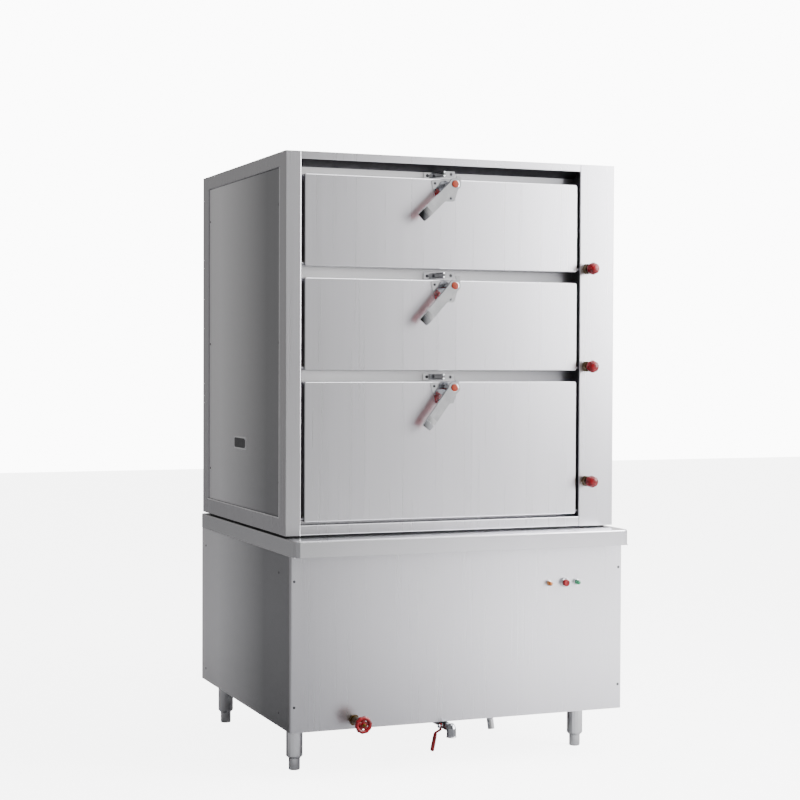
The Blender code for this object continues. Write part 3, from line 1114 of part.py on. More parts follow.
def controls():
    """Lamps, push-button with its bezel, and the box behind them."""
    for name, inset, kind in (("amber_lamp", AMBER_INSET, "amber lens"), ("green_lamp", GREEN_INSET, "green lens")):
        front = BASE_FRONT - LAMP_REACH
        collar = BASE_FRONT - GAP - LAMP_COLLAR_LENGTH
        profile = [(LAMP_RADIUS - LAMP_DOME, front), (LAMP_RADIUS, front + LAMP_DOME), (LAMP_RADIUS, collar),
                   (LAMP_COLLAR_RADIUS, collar), (LAMP_COLLAR_RADIUS, BASE_FRONT - GAP),
                   (LAMP_RADIUS, BASE_FRONT - GAP), (LAMP_RADIUS, BASE_FRONT + LAMP_TAIL)]
        piece(name, turned(profile, "Y", (HALF_BASE - inset, 0, CONTROL_Z), PIPE_SIDES), kind)
    bore = hole_radius(BUTTON_RADIUS, FINE_SIDES)
    seat = BASE_FRONT - GAP
    rim = seat - BEZEL_REACH
    profile = [(bore, rim), (BEZEL_RADIUS - BEZEL_EDGE, rim), (BEZEL_RADIUS, rim + BEZEL_EDGE), (BEZEL_RADIUS, seat),
               (BEZEL_TUBE_RADIUS, seat), (BEZEL_TUBE_RADIUS, BASE_FRONT + BEZEL_TAIL), (bore, BASE_FRONT + BEZEL_TAIL)]
    centre = (BUTTON_X, 0, CONTROL_Z)
    piece("button_bezel", turned(profile, "Y", centre, FINE_SIDES, closed=True), "polished chrome")
    front = BASE_FRONT - BUTTON_REACH
    profile = [(BUTTON_RADIUS - BUTTON_EDGE, front), (BUTTON_RADIUS, front + BUTTON_EDGE),
               (BUTTON_RADIUS, BASE_FRONT + BUTTON_TAIL)]
    piece("push_button", turned(profile, "Y", centre, FINE_SIDES), "red plastic", centre)
    left = HALF_BASE - AMBER_INSET - BOX_SIDE_ROOM
    right = HALF_BASE - GREEN_INSET + BOX_SIDE_ROOM
    low = CONTROL_Z - BOX_DOWN
    high = CONTROL_Z + BOX_UP
    shell = pan(left, right, low, high, PANEL_INNER + BOX_DEPTH, PANEL_INNER, SHEET, BEND_RADIUS + SHEET,
                BEND_RADIUS + SHEET)
    piece("control_box", shell, "galvanised steel")


def build():
    for item in list(bpy.data.objects):
        bpy.data.objects.remove(item)
    origin = bpy.data.objects.new("cabinet_origin", None)
    bpy.context.scene.collection.objects.link(origin)
    origin.location = (0, ORIGIN_SHIFT, 0)
    cabinet_frame()
    cabinet_panels()
    face_frame()
    for level in DOOR_BOTTOMS:
        chamber(level)
        rack(level)
        door(level)
        latch(level)
        steam_knob(level)
    steam_manifold()
    cabinet_plinth()
    worktop()
    base_panels()
    base_frame()
    levelling_feet()
    boiler_tank()
    heater_elements()
    water_inlet()
    float_arm()
    water_handwheel()
    drain_valve()
    drain_lever()
    overflow_pipe()
    controls()
    bpy.context.view_layer.update()


build()
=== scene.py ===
"""Dresses the steam cabinet: finishes for every node, fine fittings, floor, light and camera.

Metres, +Z up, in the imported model's own frame, whose front faces -Y.
"""
import json
import math
from itertools import product

import bmesh
import bpy
from bpy.props import FloatProperty, FloatVectorProperty, PointerProperty, StringProperty
from mathutils import Matrix, Vector


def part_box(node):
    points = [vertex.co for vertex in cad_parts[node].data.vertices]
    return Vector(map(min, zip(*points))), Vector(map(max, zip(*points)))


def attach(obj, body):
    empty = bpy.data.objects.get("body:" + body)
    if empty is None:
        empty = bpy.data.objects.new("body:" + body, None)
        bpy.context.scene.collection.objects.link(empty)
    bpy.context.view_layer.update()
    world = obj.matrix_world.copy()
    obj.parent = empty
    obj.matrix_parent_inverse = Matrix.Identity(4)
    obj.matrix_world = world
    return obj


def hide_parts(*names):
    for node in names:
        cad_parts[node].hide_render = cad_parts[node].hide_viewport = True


bl_info = {
    "name": "Steam Cabinet Dressing",
    "version": (1, 0, 0),
    "blender": (4, 5, 0),
    "location": "View3D > Sidebar > Steam Cabinet",
    "description": "Finishes and fine fittings for a three-door steam cabinet",
    "category": "Object",
}

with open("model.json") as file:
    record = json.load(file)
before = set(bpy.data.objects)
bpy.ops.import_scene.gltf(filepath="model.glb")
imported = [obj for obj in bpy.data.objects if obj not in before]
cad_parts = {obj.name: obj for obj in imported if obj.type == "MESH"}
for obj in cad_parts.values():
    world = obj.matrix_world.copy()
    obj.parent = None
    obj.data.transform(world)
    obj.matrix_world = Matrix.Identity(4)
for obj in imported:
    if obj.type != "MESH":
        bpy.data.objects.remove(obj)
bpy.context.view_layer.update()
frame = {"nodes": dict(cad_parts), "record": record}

MM = 0.001
LEVELS = ("lower", "middle", "upper")
# Gap that keeps a fitting's back clear of the sheet it sits on
SKIN_OFFSET = 0.05 * MM
FRONT = Vector((0, -1, 0))
BACK = Vector((0, 1, 0))
LEFT = Vector((-1, 0, 0))
RIGHT = Vector((1, 0, 0))
UP = Vector((0, 0, 1))
DOWN = Vector((0, 0, -1))

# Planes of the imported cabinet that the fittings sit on
CABINET_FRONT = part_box("lower_door_skin")[0].y
CABINET_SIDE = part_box("cabinet_frame")[1].x
CABINET_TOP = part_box("cabinet_frame")[1].z
CABINET_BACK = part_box("cabinet_frame")[1].y
BASE_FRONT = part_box("base_front_panel")[0].y
BASE_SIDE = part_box("base_front_panel")[1].x
BASE_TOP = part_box("base_front_panel")[1].z
BASE_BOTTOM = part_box("base_front_panel")[0].z
FACE_OVERLAP = 10 * MM
TOP_RAIL = 23 * MM
RECESS_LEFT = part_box("face_frame")[0].x + FACE_OVERLAP
RECESS_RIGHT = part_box("face_frame")[1].x - FACE_OVERLAP
RECESS_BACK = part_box("face_frame")[0].y
RECESS_TOP = CABINET_TOP - TOP_RAIL
# How far the sheet of painted shade on the recess ceiling drops towards its back
CEILING_DROP = 18 * MM
JOINTS = {joint["name"]: joint for joint in frame["record"]["behaviour"]["joints"]}

# Levers of the latches, each so far above level at its raised limit, and a painted reflection on its lip,
# dark at the lip's left end and turning bright over a short length
LEVER_RAISED_DEG = 20
LEVER_LENGTH = 152 * MM
LIP_LENGTH = 21 * MM
LIP_HALF_WIDTH = 15 * MM
LIP_PAINTED_DARK_X = -128 * MM
LIP_PAINTED_FADE = 36 * MM
# Stations of the grip liner: distance from the pin, depth of its face and half its width, in mm
GRIP_STATIONS = ((24, 2.4, 12.0), (25, 2.4, 12.8), (60, 2.4, 13.0), (127, 2.4, 13.0), (140, 6.4, 13.0),
                 (148.5, 9.1, 12.6), (149.4, 9.6, 11.6))
GRIP_BACK = 12.4

# Outlines of the knobs and lenses, as shares of their radius and of their reach
KNOB_SKIRT = ((0.44, 0), (0.56, 0.015), (0.68, 0.05), (0.82, 0.11), (0.93, 0.2), (0.985, 0.3), (1, 0.42),
              (0.995, 0.54), (0.96, 0.66), (0.9, 0.76), (0.8, 0.85))
KNOB_CROWN = ((0.78, 0.82), (0.74, 0.9), (0.64, 0.95), (0.5, 0.98), (0.34, 0.995), (0.1, 1))
KNOB_LOBES = 8
LENS_DOME = ((0.985, 0.55), (0.93, 0.78), (0.8, 0.9), (0.55, 0.97), (0.2, 1))
LENS_RADIUS = 7.8 * MM
LENS_ROOT = 28 * MM
LENS_RIBS = 24
LENS_RIB_DEPTH = 0.25 * MM
# The button's face, as shares of its radius and distances below its top in mm
BUTTON_FACE = ((1, 2.2), (0.97, 1.1), (0.86, 0.25), (0.74, 0), (0.4, 0.5), (0.1, 0.7))

# Handwheel
WHEEL_RIM = 6.2 * MM
WHEEL_RIM_SIDES = 14
WHEEL_LOBES = 10
WHEEL_LOBE_DEPTH = 1.5 * MM
WHEEL_SPOKES = 5
# Stations of the drain handle's sleeve: share of its length, half its thickness and half its width in mm
SLEEVE_STATIONS = ((0.02, 3.0, 6.6), (0.06, 4.6, 7.4), (0.3, 5.2, 7.7), (0.7, 5.6, 8.1), (0.93, 5.4, 7.9),
                   (0.98, 4.4, 6.8), (1.0, 2.4, 4.5))

# Folded edges: how far they lie from the cabinet's front and back, and the widths of the painted highlights
# along them
FOLD_FRONT = 61 * MM
FOLD_BACK = 62 * MM
UPRIGHT_STRIP = 6 * MM
LEVEL_STRIP = 3.4 * MM
RIM_BEAD = 1.6 * MM

# Strength of the room's light from left (0) to right (1), and what the camera alone sees
ROOM_BRIGHTEST = 1.65
ROOM_STOPS = ((0.0, 0.4), (0.37, 0.4), (0.5, 0.24), (0.62, 0.22), (0.77, ROOM_BRIGHTEST),
              (1.0, ROOM_BRIGHTEST))
BACKDROP_GLOW = 11
FLOOR_GLOW = 6


def joint_place(name):
    """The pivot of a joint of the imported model."""
    return Vector(JOINTS[name]["pos_m"])


# Colours and shader nodes

def linear(value):
    """An sRGB hex colour such as "c8102e" as linear red, green, blue and alpha."""
    parts = [int(value[place:place + 2], 16) / 255 for place in (0, 2, 4)]
    return (*[part / 12.92 if part <= 0.04045 else ((part + 0.055) / 1.055) ** 2.4 for part in parts], 1)


def node(tree, kind, settings=None, inputs=None):
    """Adds a node with its settings, its input values and its links from other nodes' outputs."""
    added = tree.nodes.new(kind)
    for name, value in (settings or {}).items():
        setattr(added, name, value)
    for name, value in (inputs or {}).items():
        if isinstance(value, bpy.types.NodeSocket):
            tree.links.new(value, added.inputs[name])
        else:
            added.inputs[name].default_value = value
    return added


def new_finish(name, metallic, roughness):
    """An empty material with its shader and the object's own coordinates."""
    material = bpy.data.materials.new(name)
    material.use_nodes = True
    tree = material.node_tree
    shader = tree.nodes["Principled BSDF"]
    shader.inputs["Metallic"].default_value = metallic
    shader.inputs["Roughness"].default_value = roughness
    place = node(tree, "ShaderNodeTexCoord")
    return material, tree, shader, place.outputs["Object"]


def grain(tree, place, size_mm, detail=2, rough=0.5):
    """Noise whose marks measure size_mm along X, Y and Z."""
    scale = tuple(1 / (size * MM) for size in size_mm)
    mapped = node(tree, "ShaderNodeMapping", inputs={"Vector": place, "Scale": scale})
    noise = node(tree, "ShaderNodeTexNoise", inputs={
        "Vector": mapped.outputs["Vector"], "Scale": 1, "Detail": detail, "Roughness": rough})
    return noise.outputs["Fac"]


def spread(tree, value, low, high, start=0.3, end=0.7):
    """A value between two limits, as a noise goes from start to end."""
    mapped = node(tree, "ShaderNodeMapRange", inputs={
        "Value": value, "From Min": start, "From Max": end, "To Min": low, "To Max": high})
    return mapped.outputs["Result"]


def tint(tree, value, first, second):
    """A colour between two hex tones, by a value from 0 to 1."""
    mixed = node(tree, "ShaderNodeMix", {"data_type": "RGBA"})
    tree.links.new(value, mixed.inputs[0])
    mixed.inputs[6].default_value = linear(first)
    mixed.inputs[7].default_value = linear(second)
    return mixed.outputs[2]


def painted_light_ramp(tree, place, colour, axis, start, end, far_tone):
    """Paints light and shade: turns a colour to a further tone between two places along an axis, in metres.
    """
    axes = node(tree, "ShaderNodeSeparateXYZ", inputs={0: place})
    mixed = node(tree, "ShaderNodeMix", {"data_type": "RGBA"})
    tree.links.new(spread(tree, axes.outputs[axis], 0, 1, start, end), mixed.inputs[0])
    tree.links.new(colour, mixed.inputs[6])
    mixed.inputs[7].default_value = linear(far_tone)
    return mixed.outputs[2]


def relief(tree, height, depth_mm, beneath=None):
    """A bump of the given depth, over another one if there is one."""
    inputs = {"Height": height, "Strength": 1, "Distance": depth_mm * MM}
    if beneath:
        inputs["Normal"] = beneath
    return node(tree, "ShaderNodeBump", inputs=inputs).outputs["Normal"]


def for_camera(tree, seen, unseen):
    """A surface or sky that looks one way to the camera and another way to every other ray."""
    ray = node(tree, "ShaderNodeLightPath")
    mixed = node(tree, "ShaderNodeMixShader", inputs={0: ray.outputs["Is Camera Ray"], 1: unseen, 2: seen})
    return mixed.outputs[0]


def link_finish(tree, shader, colour, roughness=None, normal=None):
    """Links what a finish is made of into its shader."""
    for name, value in (("Base Color", colour), ("Roughness", roughness), ("Normal", normal)):
        if value is not None:
            tree.links.new(value, shader.inputs[name])


def brushed_stainless(name, along, tones, rough, shade=None):
    """Stainless steel 304, belt ground: fine scratches one way blur the reflection and give it streaks.

    The real scratches are about 0.2 mm wide, too fine to show, so each streak stands for a band of them.
    """
    material, tree, shader, place = new_finish(name, 1, rough)
    bands = grain(tree, place, [900 if axis == along else 7 for axis in "XYZ"], 3, 0.6)
    hairs = grain(tree, place, [500 if axis == along else 2.5 for axis in "XYZ"], 1)
    clouds = grain(tree, place, (260, 260, 420), 1)
    both = node(tree, "ShaderNodeMath", {"operation": "ADD"}, {0: bands, 1: clouds})
    colour = tint(tree, spread(tree, both.outputs[0], 0, 1, 0.5, 1.5), *tones)
    # Where given, a painted gradient of light and shade along an axis
    if shade:
        colour = painted_light_ramp(tree, place, colour, *shade)
    scratches = relief(tree, hairs, 0.0015, relief(tree, clouds, 0.12))
    link_finish(tree, shader, colour, spread(tree, bands, rough - 0.01, rough + 0.02), scratches)
    return material


def polished_chrome(name, tone="f0f1f3", smear_tone="d4d6da", shade=None):
    """Bright chromium plate on steel: mirror-like, with faint smears that dull it in patches."""
    material, tree, shader, place = new_finish(name, 1, 0.09)
    smears = grain(tree, place, (22, 22, 30), 3)
    colour = tint(tree, smears, smear_tone, tone)
    # Where given, a painted gradient of light and shade along an axis
    if shade:
        colour = painted_light_ramp(tree, place, colour, *shade)
    waves = relief(tree, grain(tree, place, (6, 6, 6)), 0.02)
    link_finish(tree, shader, colour, spread(tree, smears, 0.05, 0.16), waves)
    return material


def cast_brass(name):
    """Machined and cast brass: yellow metal, browner in patches, with a fine sand-cast grain."""
    material, tree, shader, place = new_finish(name, 1, 0.3)
    patches = grain(tree, place, (14, 14, 14), 3)
    sand = relief(tree, grain(tree, place, (1.2, 1.2, 1.2)), 0.05)
    colour = tint(tree, patches, "30240f", "7a5e2c")
    link_finish(tree, shader, colour, spread(tree, patches, 0.22, 0.42), sand)
    return material


def galvanised_steel(name):
    """Hot-dip zinc on steel: dull grey with the crystal spangle of the coat."""
    material, tree, shader, place = new_finish(name, 1, 0.5)
    spangle_mm = 11
    cells = node(tree, "ShaderNodeTexVoronoi", inputs={"Vector": place, "Scale": 1 / (spangle_mm * MM)})
    parts = node(tree, "ShaderNodeSeparateColor", inputs={"Color": cells.outputs["Color"]})
    link_finish(tree, shader, tint(tree, parts.outputs["Red"], "7f8386", "a9adaf"),
                spread(tree, parts.outputs["Green"], 0.38, 0.6, 0, 1))
    return material


def moulded_plastic(name, tone, deep_tone, rough):
    """Injection-moulded plastic: an even colour under a gloss skin, with the mould's faint orange peel."""
    material, tree, shader, place = new_finish(name, 0, rough)
    wear = grain(tree, place, (16, 16, 16), 3)
    peel = relief(tree, grain(tree, place, (1.5, 1.5, 1.5)), 0.02)
    link_finish(tree, shader, tint(tree, spread(tree, wear, 0, 1), deep_tone, tone),
                spread(tree, wear, rough - 0.06, rough + 0.08), peel)
    shader.inputs["IOR"].default_value = 1.53
    return material


def dull_metal(name, tone, deep_tone, rough, grit_mm):
    """Anodised, blacked or ground metal: no mirror image, only a soft sheen broken by a fine grit."""
    material, tree, shader, place = new_finish(name, 1, rough)
    patches = grain(tree, place, (16, 16, 16), 3)
    grit = relief(tree, grain(tree, place, (grit_mm, grit_mm, grit_mm)), 0.02)
    link_finish(tree, shader, tint(tree, spread(tree, patches, 0, 1), deep_tone, tone),
                spread(tree, patches, rough - 0.05, rough + 0.06), grit)
    return material


def lamp_lens(name, tone, glow_tone):
    """Coloured polycarbonate lens under a clear coat, going from deep to pale between faint ribs."""
    material, tree, shader, place = new_finish(name, 0, 0.12)
    ribs = grain(tree, place, (3, 40, 3), 1)
    colour = tint(tree, spread(tree, ribs, 0, 1), tone, glow_tone)
    link_finish(tree, shader, colour, normal=relief(tree, ribs, 0.12))
    shader.inputs["IOR"].default_value = 1.585
    shader.inputs["Coat Weight"].default_value = 0.6
    return material


def silicone_rubber(name):
    """Extruded silicone: milky and matte, with talc-like dust in its pores."""
    material, tree, shader, place = new_finish(name, 0, 0.65)
    dust = grain(tree, place, (2.5, 2.5, 2.5), 3)
    link_finish(tree, shader, tint(tree, dust, "b5b1a4", "d5d2c8"), normal=relief(tree, dust, 0.05))
    shader.inputs["IOR"].default_value = 1.41
    return material


# Each steel's name, direction of brushing, dark and light tone and roughness. The tones of the visible steels
# are
# painted light: lit and shaded copies of one steel, darkest on the sides and in the recess. Some also turn to
# a further tone between two places along an axis, a painted gradient of light and shade.
STEELS = {
    "door steel": ("brushed upright, doors", "Z", ("c4c4c7", "cacace"), 0.28, ("X", -0.5, 0.3, "efeef4")),
    "post steel": ("brushed upright, frame", "Z", ("bababd", "c2c2c5"), 0.28, ("X", -0.5, 0.1, "e4e3e9")),
    "side steel": ("brushed upright, side panels", "Z", ("86878a", "8f9093"), 0.32,
                   ("Y", CABINET_FRONT + 0.2, CABINET_BACK - 0.2, "f4f4f6")),
    "rim steel": ("brushed lengthways, worktop", "X", ("c6c6c9", "cecfd1"), 0.22, ("X", -0.5, 0.2, "f6f5fb")),
    "base steel": ("brushed upright, base front", "Z", ("bcbcc0", "c2c2c6"), 0.28,
                   ("X", -0.5, 0.25, "f8f7fd")),
    "face steel": ("brushed lengthways, face frame", "X", ("e6e6e8", "eeeef0"), 0.3,
                   ("X", RECESS_LEFT + 0.1, RECESS_RIGHT, "66666a")),
    # Dark sheets of painted shade on the recess ceiling and returns
    "recess painted shade": ("in the recess, painted shade", "X", ("36363a", "424246"), 0.42),
    "returns painted shade": ("brushed upright, recess returns", "Z", ("606064", "6a6a6e"), 0.4),
    "inner steel": ("brushed inward, chambers", "Y", ("acadb1", "babbbf"), 0.36),
}


def make_finishes(colours):
    """Every finish of the cabinet, by the name that pieces and nodes use."""
    finishes = {key: brushed_stainless(f"Stainless 304 {words}", *rest)
                for key, (words, *rest) in STEELS.items()}
    finishes.update({
        # Near-white strips on the folded edges: painted highlight
        "painted highlight": dull_metal("Steel edge, painted highlight", "fcfcfd", "f0f0f2", 0.55, 0.8),
        "chrome": polished_chrome("Chromium plate, polished"),
        # The lip's chrome carries a painted reflection, dark at its left end and turning bright
        "lip chrome, painted reflection": polished_chrome("Chromium plate on the lever's lip, painted reflection", "1c1d1e", "2c2d2f",
                                      ("X", LIP_PAINTED_DARK_X, LIP_PAINTED_DARK_X + LIP_PAINTED_FADE, "f0f1f3")),
        "foot steel": polished_chrome("Stainless tube, polished", "eeeff1", "d8d9dc"),
        "dull chrome": polished_chrome("Chromium plate, worn", "b6b8bc", "7f8185"),
        "plate": dull_metal("Aluminium plate, anodised dark", "505155", "3e3f42", 0.4, 0.6),
        "brass": cast_brass("Brass, cast and machined"),
        "galvanised": galvanised_steel("Steel, hot-dip galvanised"),
        "red": moulded_plastic("ABS moulded, signal red", colours.knob_red, colours.knob_shade, 0.24),
        "orange": moulded_plastic("ABS moulded, orange cap", colours.cap_orange, "822200", 0.4),
        # Black: the plinth, and painted shade in screw recesses and the keepers' eyes
        "black": moulded_plastic("Polypropylene moulded, black, and painted shade in hollows", "26272a", "141517", 0.45),
        "screw": dull_metal("Steel screw, chemically blacked", "6a6c70", "3c3d41", 0.35, 0.8),
        "amber": lamp_lens("Polycarbonate lens, amber", colours.amber_lens, "d08a44"),
        "green": lamp_lens("Polycarbonate lens, green", colours.green_lens, "3fae7c"),
        "rubber": silicone_rubber("Silicone rubber, extruded"),
    })
    return finishes


FINISHES = {}

# The plinth takes the black finish, which keeps the gap between the cabinet and the worktop dark
NODE_FINISHES = {
    "cabinet_frame": "post steel", "left_side_panel": "side steel", "right_side_panel": "side steel",
    "cabinet_back_panel": "side steel", "face_frame": "face steel", "cabinet_plinth": "black",
    "worktop": "rim steel", "base_front_panel": "base steel", "base_left_panel": "side steel",
    "base_right_panel": "side steel", "base_back_panel": "side steel", "base_frame": "foot steel",
    "boiler_tank": "inner steel", "heater_elements": "chrome", "steam_manifold": "brass",
    "water_inlet": "brass", "float_arm": "brass", "control_box": "galvanised",
    "drain_valve": "dull chrome", "overflow_pipe": "foot steel",
    "amber_lamp": "amber", "green_lamp": "green", "button_bezel": "chrome", "push_button": "red",
    "water_handwheel": "red", "drain_lever": "red", "front_left_foot": "foot steel",
    "front_right_foot": "foot steel", "back_left_foot": "foot steel", "back_right_foot": "foot steel",
}
LEVEL_FINISHES = {
    "chamber": "inner steel", "rack": "chrome", "keeper": "chrome", "door_skin": "door steel",
    "door_liner": "inner steel", "door_gasket": "rubber", "latch_base": "chrome", "latch_lever": "chrome",
    "latch_grip": "red", "steam_knob": "red",
}


# Shapes

def scaled(profile, radius, reach):
    """A profile of shares as one of radii and distances."""
    return [(radius * share, reach * along) for share, along in profile]


def in_mm(*profile):
    """A profile written in millimetres, in metres."""
    return [(radius * MM, along * MM) for radius, along in profile]


def turns(count):
    """Angles spread evenly over a full turn."""
    return [math.tau * place / count for place in range(count)]



def add_rings(shape, rings, finish=0, closed=False):
    """A skin over rings of equal length, capped at its ends unless the rings close on themselves."""
    rows = [[shape.verts.new(point) for point in ring] for ring in rings]
    faces = [] if closed else [shape.faces.new(rows[0]), shape.faces.new(rows[-1])]
    pairs = list(zip(rows, rows[1:])) + ([(rows[-1], rows[0])] if closed else [])
    for low, high in pairs:
        for place, corner in enumerate(low):
            following = (place + 1) % len(low)
            faces.append(shape.faces.new((corner, low[following], high[following], high[place])))
    for face in faces:
        face.material_index = finish


def drawn_out(sine):
    """A sine that makes a round section squarer."""
    return math.copysign(abs(sine) ** 0.7, sine)


def ring_about(centre, axis, radius, along, sides, lobes=0, lobe_depth=0):
    """Points round an axis at a distance along it, drawn in between the lobes."""
    across = axis.orthogonal().normalized()
    up = axis.cross(across)
    points = []
    for angle in turns(sides):
        reach = radius - lobe_depth * (1 - math.cos(lobes * angle)) / 2
        points.append(centre + axis * along + across * (reach * math.cos(angle))
                      + up * (reach * math.sin(angle)))
    return points


def add_turned(shape, profile, centre, axis, sides=48, finish=0, closed=False, lobes=0, lobe_depth=0):
    """A turned form. The profile holds (radius, distance along the axis)."""
    add_rings(shape, [ring_about(centre, axis, radius, along, sides, lobes, lobe_depth)
                      for radius, along in profile], finish, closed)


def rounded_profile(radius, start, end, edge, steps=4):
    """Profile of a disc or rod from start to end whose far edge is rounded."""
    profile = [(radius, start)]
    toward = math.copysign(1, end - start)
    for step in range(steps + 1):
        angle = math.pi / 2 * step / steps
        profile.append((radius - edge * (1 - math.cos(angle)), end - toward * edge * (1 - math.sin(angle))))
    return profile


def add_plate(shape, outline, normal, base, thickness, edge, finish=0):
    """A flat plate from an outline of 3-D points, lifted along a normal, with its top edge broken."""
    middle = sum(outline, Vector()) / len(outline)
    shrunk = [point + (middle - point).normalized() * edge for point in outline]
    rows = ((outline, base), (outline, base + thickness - edge), (shrunk, base + thickness))
    add_rings(shape, [[point + normal * height for point in points] for points, height in rows], finish)


def add_pan_head(shape, place, normal, radius, height, turn=0.0):
    """A pan-head screw with its cross recess as two black bars on its crown: painted shade in the recess."""
    add_turned(shape, [(radius, SKIN_OFFSET), (radius, height * 0.35), (radius * 0.86, height * 0.75),
                       (radius * 0.55, height * 0.96), (radius * 0.2, height)], place, normal, 20, 0)
    across = (Matrix.Rotation(turn, 3, normal) @ normal.orthogonal()).normalized()
    for arm in (across, normal.cross(across)):
        side = normal.cross(arm)
        outline = [place + arm * (radius * a) + side * (radius * b)
                   for a, b in ((-0.55, -0.1), (0.55, -0.1), (0.55, 0.1), (-0.55, 0.1))]
        add_plate(shape, outline, normal, height * 0.8, height * 0.22, radius * 0.02, 1)


def add_rivet(shape, place, normal, radius, finish):
    """A domed blind rivet with its broken-off mandrel in the middle."""
    add_turned(shape, [(radius, SKIN_OFFSET), (radius * 0.9, radius * 0.3), (radius * 0.6, radius * 0.5),
                       (radius * 0.3, radius * 0.55)], place, normal, 16, finish)


def make_piece(name, shape, finishes, body, stands_for=()):
    """A finished object from a shape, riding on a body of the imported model."""
    bmesh.ops.recalc_face_normals(shape, faces=shape.faces[:])
    mesh = bpy.data.meshes.new(name)
    shape.to_mesh(mesh)
    shape.free()
    for finish in finishes:
        mesh.materials.append(FINISHES[finish])
    mesh.shade_smooth()
    mesh.set_sharp_from_angle(angle=math.radians(38))
    item = bpy.data.objects.new(name, mesh)
    bpy.context.scene.collection.objects.link(item)
    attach(item, body)
    if stands_for:
        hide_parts(*stands_for)
    return item


# Settings

def hex_tone(name, description, tone):
    """A colour that a user may change, as sRGB hex."""
    return StringProperty(name=name, description=description, default=tone)


def size_in_mm(name, description, size):
    """A length that a user may change."""
    return FloatProperty(name=name, description=description, unit="LENGTH", default=size * MM)


def angle_in_degrees(name, description, angle):
    """An angle that a user may change."""
    return FloatProperty(name=name, description=description, subtype="ANGLE", default=math.radians(angle))


class STEAMCABINET_PG_colours(bpy.types.PropertyGroup):
    """Colours of plastics, lenses and light."""
    knob_red: hex_tone("Knob red", "Knobs, grips and handwheel", "9c0014")
    knob_shade: hex_tone("Knob shade", "Darker patches of the red", "5e000a")
    cap_orange: hex_tone("Cap orange", "Caps on the latch pins", "a03000")
    amber_lens: hex_tone("Amber lens", "Lens of the heating lamp", "a85010")
    green_lens: hex_tone("Green lens", "Lens of the power lamp", "0c6a3c")
    sky: FloatVectorProperty(name="Studio tint", description="Colour of the room's light", subtype="COLOR",
                             size=3, min=0, max=1, default=(1.0, 0.985, 0.98))


class STEAMCABINET_PG_sizes(bpy.types.PropertyGroup):
    """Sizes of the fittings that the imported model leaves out."""
    screw_radius: size_in_mm("Panel screw", "Radius of a panel screw's head", 4.6)
    screw_height: size_in_mm("Screw height", "Height of a screw's head", 2.2)
    rivet_radius: size_in_mm("Rivet", "Radius of a rivet's dome", 2.4)
    cap_radius: size_in_mm("Latch cap", "Radius of the cap on a latch's pin", 11.4)
    lobe_depth: size_in_mm("Knob lobes", "Depth of the hollows round a knob", 0.8)
    badge_width: size_in_mm("Plate width", "Width of the bare plate on the left side", 129)
    badge_height: size_in_mm("Plate height", "Height of the bare plate", 41)


class STEAMCABINET_PG_stage(bpy.types.PropertyGroup):
    """Camera and light."""
    lens: FloatProperty(name="Lens", description="Focal length on a 36 mm wide sensor", default=79.31)
    azimuth: angle_in_degrees("Azimuth", "Direction of view, turned from +Y towards +X", 21.746)
    pitch: angle_in_degrees("Pitch", "Tilt of the view, up is positive", -1.34)
    roll: angle_in_degrees("Roll", "Turn about the line of sight", 0.202)
    place: FloatVectorProperty(name="Camera place", description="Where the camera stands", size=3,
                               subtype="TRANSLATION", unit="LENGTH", default=(-2.1696, -5.3625, 1.2559))
    key_power: FloatProperty(name="Key light", description="Watts of the large light on the right",
                             default=300, min=0)
    fill_power: FloatProperty(name="Top light", description="Watts of the overhead light", default=150, min=0)


# Operators

class STEAMCABINET_OT_finishes(bpy.types.Operator):
    """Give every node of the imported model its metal, plastic or rubber"""
    bl_idname = "steamcabinet.finishes"
    bl_label = "Finish the Nodes"

    def execute(self, context):
        FINISHES.update(make_finishes(context.scene.steamcabinet_colours))
        wanted = dict(NODE_FINISHES)
        for level in LEVELS:
            wanted.update({f"{level}_{part}": finish for part, finish in LEVEL_FINISHES.items()})
        for name, item in frame["nodes"].items():
            item.data.materials.clear()
            item.data.materials.append(FINISHES[wanted[name]])
        return {"FINISHED"}


class STEAMCABINET_OT_knobs(bpy.types.Operator):
    """Replace the plain steam knobs with lobed ones that have a flat crown"""
    bl_idname = "steamcabinet.knobs"
    bl_label = "Steam Knobs"

    def execute(self, context):
        lobe_depth = context.scene.steamcabinet_sizes.lobe_depth
        for level in LEVELS:
            low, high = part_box(f"{level}_steam_knob")
            centre = joint_place(f"{level}_knob_turn")
            centre.y = high.y
            reach = high.y - low.y
            radius = (high.z - low.z) / 2
            shape = bmesh.new()
            skirt = scaled(KNOB_SKIRT, radius, reach)
            add_turned(shape, skirt, centre, FRONT, 96, 0, False, KNOB_LOBES, lobe_depth)
            add_turned(shape, scaled(KNOB_CROWN, radius, reach), centre, FRONT, 64)
            make_piece(f"{level}_knob_shell", shape, ["red"], f"{level}_knob",
                       [f"{level}_steam_knob"])
        return {"FINISHED"}


